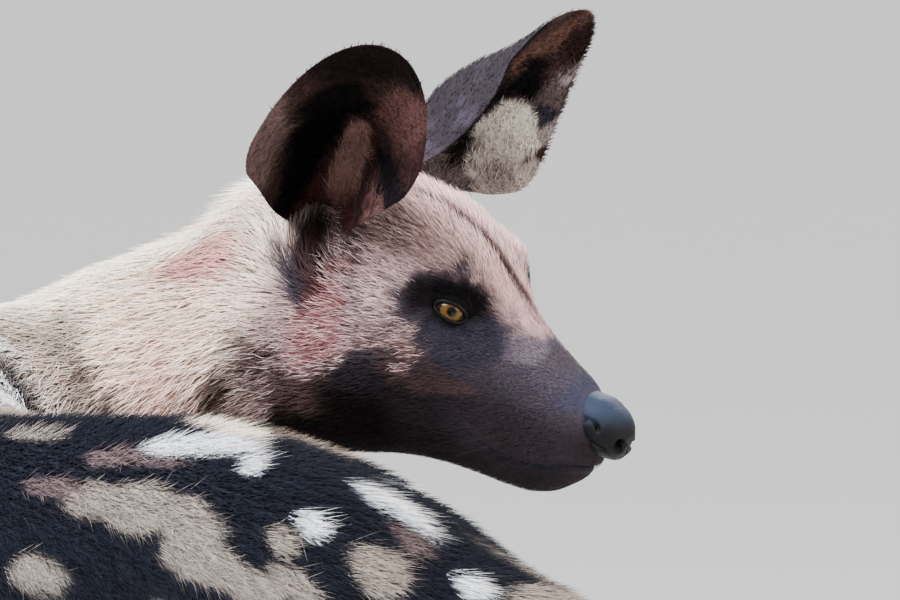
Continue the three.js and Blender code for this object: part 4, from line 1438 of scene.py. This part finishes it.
def blades(
    name, slot, at, normal, way, length, width, stand, colour, chart, seed, bends=1, splay=11.0, curl=0.12
):
    rng = np.random.default_rng(seed)
    count = len(at)
    way = unit(way - normal * (way * normal).sum(1, keepdims=True))
    angle = np.radians(rng.normal(0, splay, count))[:, None]
    way = way * np.cos(angle) + np.cross(normal, way) * np.sin(angle)
    side = np.cross(normal, way)
    length = (length * rng.uniform(0.75, 1.2, count))[:, None]
    width = (width * rng.uniform(0.8, 1.2, count))[:, None]
    stand = (stand * rng.uniform(0.55, 1.1, count))[:, None]
    bend = length * rng.normal(0, curl, count)[:, None]
    steps = np.linspace(0, 1, bends + 2)
    rows, painted_root_shade = [], []
    for t in steps[:-1]:
        above = stand * t * (1.6 - 0.6 * t) - ROOT_DEPTH * (t == 0)
        middle = at + way * length * t + side * bend * t * t + normal * above
        half = width * (1 - 0.5 * t) / 2
        rows += [middle - side * half, middle + side * half, middle + normal * half]
        # the blade is painted darker towards its root: painted shade deep in the coat
        painted_root_shade += [0.62 + 0.5 * t] * 3
    rows.append(at + way * length + side * bend + normal * stand)
    points, per = np.stack(rows, 1), len(rows)
    points[..., 2] = np.maximum(points[..., 2], 0.3)
    tip = per - 1
    pattern = [(0, 2, 1), (tip - 3, tip - 2, tip), (tip - 2, tip - 1, tip), (tip - 1, tip - 3, tip)]
    for ring in range(bends):
        for k in range(3):
            a, b = 3 * ring + k, 3 * ring + (k + 1) % 3
            pattern += [(a, b, b + 3), (a, b + 3, a + 3)]
    pattern = np.array(pattern)
    faces = (pattern[None] + per * np.arange(count)[:, None, None]).reshape(-1, 3)
    piece = mesh_from(name, points.reshape(-1, 3), faces)
    # painted shade at the root rising to a lighter tip, times a random tone for each tuft
    shade = np.array(painted_root_shade + [1.18])[None, :, None]
    tone = rng.normal(1, 0.13, (count, 1, 1)).clip(0.6, 1.45)
    colour_points(piece.data, (colour[:, None] * shade * tone).reshape(-1, 3).clip(0, 1))
    # each tuft is a small patch at its root's place on the unwrapped skin
    patch_of = stack(0.0014 * (np.arange(per) % 3 - 1), 0.0005 * (np.arange(per) // 3))
    on_chart = (chart[:, None] + patch_of[None]).reshape(-1, 2)
    layer = piece.data.uv_layers.new(name="OFBake")
    layer.data.foreach_set("uv", on_chart[faces.ravel()].astype(np.float32).ravel())
    piece.data.materials.append(hair_paint)
    dress(piece, slot)
    print(f"{name}: {count} tufts, {len(faces)} triangles")


# %% How long the hair is, and the unwrapped chart of the skin
def hair_length(found, share):
    x, y, z = found["head"]["point"].T
    head = 11 - 3.5 * rise(x, 60, 118) - 3.2 * rise(x, 125, 185) + 9 * rise(x, 50, 0)
    eye = np.linalg.norm(stack(x, np.abs(y), z) - eye_centre(1), axis=1)
    head = head * (1 - 0.5 * rise(eye, 28, 15))
    for root, *_ in EARS.values():
        head = head + 8 * ear_foot(found["head"]["point"], root)
    neck, t = found["neck"], found["tail"]["t"]
    length = share["head"] * head
    length += share["neck"] * (27 + 5 * rise(neck["up"], 0.1, 0.4) + 4 * rise(neck["up"], -0.2, -0.5))
    length += share["torso"] * (18 + 5 * rise(found["torso"]["up"], -0.2, -0.5))
    length += share["tail"] * (24 + 44 * rise(t, 0.3, 0.46) - 18 * rise(t, 0.86, 1))
    for name in legs:
        z = found[name]["z"]
        length += share[name] * (9 + 8 * rise(z, 220, 430) - 3.5 * rise(z, 60, 20))
    return length


def unwrapped(part, p, found):
    """The place of a root on the unwrapped skin of its part, from 0 to 1 each way."""
    if part in ("torso", "neck"):
        place = found[part]
        return stack((place["along"] + 40) / 1100, 0.5 + place["around"] / 620)
    if part == "head":
        x, y, z = found["head"]["point"].T
        return stack((x + 60) / 300, 0.5 + np.arctan2(y, z + 4) / (2 * np.pi))
    if part == "tail":
        at, _, side, normal = tail_frame(found["tail"]["t"])
        gap = p - at
        turned = np.arctan2((gap * side).sum(1), (gap * normal).sum(1)) / (2 * np.pi)
        return stack(0.02 + 0.94 * found["tail"]["t"], 0.5 + 0.94 * turned)
    place = found[part]
    column = list(legs).index(part) / 4 + 0.125
    turned = np.arctan2(place["outward"], place["ahead"]) / (2 * np.pi)
    return stack(column + 0.23 * turned, (place["z"] + 10) / 700)


# %% The coat of each part
def lid_gap(q, side):
    """How far a point lies outside the almond of the lids; large away from the eye."""
    local, distance, scale, inside = almond(q, side, (14, 18))
    return np.where((local[:, 2] > 0) & (distance < 24), -inside / scale, 99)


def coat(name, part, quads, spacing, width, slot, seed, bends=1, splay=11.0, curl=0.12):
    mix = scatter(quads, spacing, seed)
    at, outer, normal = mix(skin), mix(skin_points), unit(mix(normals))
    found, share = places(outer)
    q, sunk = found["head"]["point"], to_head(at)
    # no hair grows on the lids, under the soles, in the line of the mouth or on the nose
    bare = (np.minimum(lid_gap(sunk, 1), lid_gap(sunk, -1)) < 2.2) | (at[:, 2] < 3)
    bare |= (np.abs(mouth_gap(sunk)) < 1.1) & (q[:, 0] > 138) & (found["head"]["near"] < 1.3)
    nose_row = curve(NOSE_ROWS)(np.clip(q[:, 0], 196, 233))
    bare |= (q[:, 0] > 202) & (oval(nose_row, q[:, 1], q[:, 2]) < 1.08)
    at, outer, normal, q = at[~bare], outer[~bare], normal[~bare], q[~bare]
    found, share = places(outer)
    way, length = lie(outer, found, share), hair_length(found, share)
    depth = coat_depth(found, share)
    # a tuft lies over the skin behind its root, so it takes the tone of the place half way along it
    cover = outer + 0.5 * way * length[:, None]
    colour = markings(cover, *places(cover))
    if part == "head":
        rng = np.random.default_rng(seed + 1)
        pale = rise(q[:, 0], 165, 120) * (colour.mean(1) > 0.05)
        grey = (rng.random(len(at)) < 0.35) * pale
        dark = (rng.random(len(at)) < 0.16) * pale
        frost = (rng.random(len(at)) < 0.12) * rise(q[:, 0], 120, 150)
        frost = 0.2 * frost * rise(q[:, 2], -10, 12)
        colour = paint(colour, ("#d3b9b3", 0.55 * grey), ("#2a201f", 0.6 * dark), ("#6a6067", frost))
        width = width * (1 - 0.28 * rise(q[:, 0], 110, 165))
    # the coat stands up a little along the forehead
    crown = share["head"] * rise(q[:, 2], 54, 70) * rise(q[:, 0], 30, 55) * rise(q[:, 0], 150, 125)
    length, depth = length + 4 * crown, depth + 4.5 * crown
    chart = unwrapped(part, outer, found)
    hair = (at, normal, way, length, width, depth, colour, chart)
    blades(name, slot, *hair, seed, bends, splay, curl)


owner = np.argmax(np.stack(list(share.values())), 0)
part_of = {name: skin_quads[owner[skin_quads[:, 0]] == k] for k, name in enumerate(share)}
left_side = q[:, 1] > 0
for part, quads in part_of.items():
    print(part, len(quads), "quads")

# %% Head and neck
forward_part = to_head(skin_points)[:, 0] > 95
neck_side = found["neck"]["around"] > 0
for side_name, keep_left in (("left", True), ("right", False)):
    quads = part_of["head"]
    one_side, front = left_side[quads[:, 0]] == keep_left, forward_part[quads[:, 0]]
    muzzle, cheek = quads[one_side & front], quads[one_side & ~front]
    coat("coat_muzzle_" + side_name, "head", muzzle, 1.15, 0.46, "face_coat", 11 + keep_left)
    coat("coat_cheek_" + side_name, "head", cheek, 1.35, 0.6, "face_coat", 14 + keep_left)
    quads = part_of["neck"]
    one_side = neck_side[quads[:, 0]] == keep_left
    quads = quads[one_side]
    coat("coat_neck_" + side_name, "neck", quads, 2.2, 0.85, "neck_coat", 21 + keep_left, 1, 9, 0.1)

# %% Trunk, legs and tail
trunk_side = found["torso"]["around"] > 0
for name, keep_left in (("coat_trunk_left", True), ("coat_trunk_right", False)):
    quads = part_of["torso"]
    quads = quads[trunk_side[quads[:, 0]] == keep_left]
    coat(name, "torso", quads, 2.0, 0.72, "body_coat", 31 + keep_left, 0)
for part in legs:
    coat("coat_" + part[4:], part, part_of[part], 5.2, 1.3, "body_coat", 41 + len(part))
coat("coat_tail", "tail", part_of["tail"], 3.4, 1.7, "tail_brush", 51, 3, 14, 0.16)

# %% [markdown]
# ## Hair of the ears
# Short velvet covers the back of each ear and frays its rim. Inside, longer pale or dark hair
# leans up and in from the edges and thins out towards the bare, dark hollow.


# %% Ear hair
def ear_hair(name, seed):
    rng = np.random.default_rng(seed)
    groups = []
    for kind, count in (("back", 3000), ("rim", 2000), ("inner", 4200)):
        angle = rng.uniform(0, 2 * np.pi, count)
        share = np.sqrt(rng.uniform(0.02, 1, count))
        share = 0.95 + 0.05 * share if kind == "rim" else share * 0.985
        wall = EAR["thick"] + (EAR["rim"] - EAR["thick"]) * share if kind == "back" else 0.0
        place = lambda s, a: ear_local(name, s, a, wall)[0]
        local, across, height = ear_local(name, share, angle, wall)
        du = place(share + 0.01, angle) - local
        dv = place(share, angle + 0.01) - local
        normal = unit(np.cross(du, dv))
        normal *= np.sign(normal[:, 2:])
        if kind == "back":
            normal = -normal
        up = np.array([0, 1.0, 0])
        inwards = stack(-across, 0, 0) / EAR["half"]
        if kind == "back":
            way, length, stand = up + 0.0 * inwards, 5.0 + 0 * height, 1.3
        elif kind == "rim":
            way, length, stand = unit(du) + 1.2 * up, 3.6 + 0 * height, 0.8
        else:
            way = up + 1.3 * inwards + 0.5 * rng.normal(0, 1, (count, 3))
            length, stand = 5 + 6 * rise(height, 0.7, 0.2), 2.4
        stand, within = np.full(count, stand), np.full(count, kind != "back")
        groups.append((local, normal, way, length, stand, across, height, within))
    groups = (np.concatenate(values) for values in zip(*groups))
    local, normal, way, length, stand, across, height, within = groups
    _, axes = ear_axes(name)
    at = ear_place(name, local)
    normal, way = unit(normal @ axes @ HEAD_TURN.T), unit(way @ axes @ HEAD_TURN.T)
    colour = ear_colour(name, at, across, height, within.astype(float))
    chart = stack(0.25 + 0.5 * (1 - within) + across / 220, 0.03 + 0.94 * height)
    hair = (at, normal, way, length, 0.55, stand, colour, chart)
    blades("coat_" + name, "ear_coat", *hair, seed, 1, 16, 0.15)


for name in EARS:
    ear_hair(name, 61 + len(name))

# %% [markdown]
# ## Whiskers
# A few stiff hairs stand out of the lips, thicker and blacker than the coat.


# %% Whiskers
def whisker(rng, side, row, k):
    root = np.array([202 - 7.5 * k - 2 * row, side * (25 + 1.5 * k), -10 - 6.0 * row + 1.2 * k])
    way = np.array([-0.55 - 0.1 * k, side * 1.0, -0.35 - 0.12 * row])
    way = unit(way + rng.normal(0, 0.08, 3))
    length = 26 + 5 * k + rng.uniform(-4, 4)
    t = np.linspace(0, 1, 7)[:, None]
    at = root + way * length * t + np.array([-6, 0, -5.0]) * t**2
    beside = unit(np.cross(way, [0, 0, 1]))
    radius = 0.24 * (1 - 0.85 * t)[:, None]
    rings = tube(at, beside, np.cross(beside, way), radius, 4)
    return closed(from_head(rings.reshape(-1, 3)).reshape(rings.shape))


whisker_paint, tree, shader = material(
    "stiff black whisker", Base_Color=rgba("#0b0908"), Specular_IOR_Level=0.1, Roughness=0.5
)
relief(tree, shader, spots(tree, "ShaderNodeTexNoise", 1 / 0.9).outputs["Fac"], 0.2, 0.1)
for name, side in (("whiskers_left", 1), ("whiskers_right", -1)):
    rng = np.random.default_rng(71)
    hairs = joined(whisker(rng, side, row, k) for row in range(4) for k in range(5))
    made = mesh_from(name, *hairs)
    made.data.materials.append(whisker_paint)
    dress(made, "face_coat")
print("whiskers on both sides")

# %% Size of the finished model
visual_box = [[float(v) for v in corner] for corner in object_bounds()]
print("the model reaches from", visual_box[0], "to", visual_box[1])
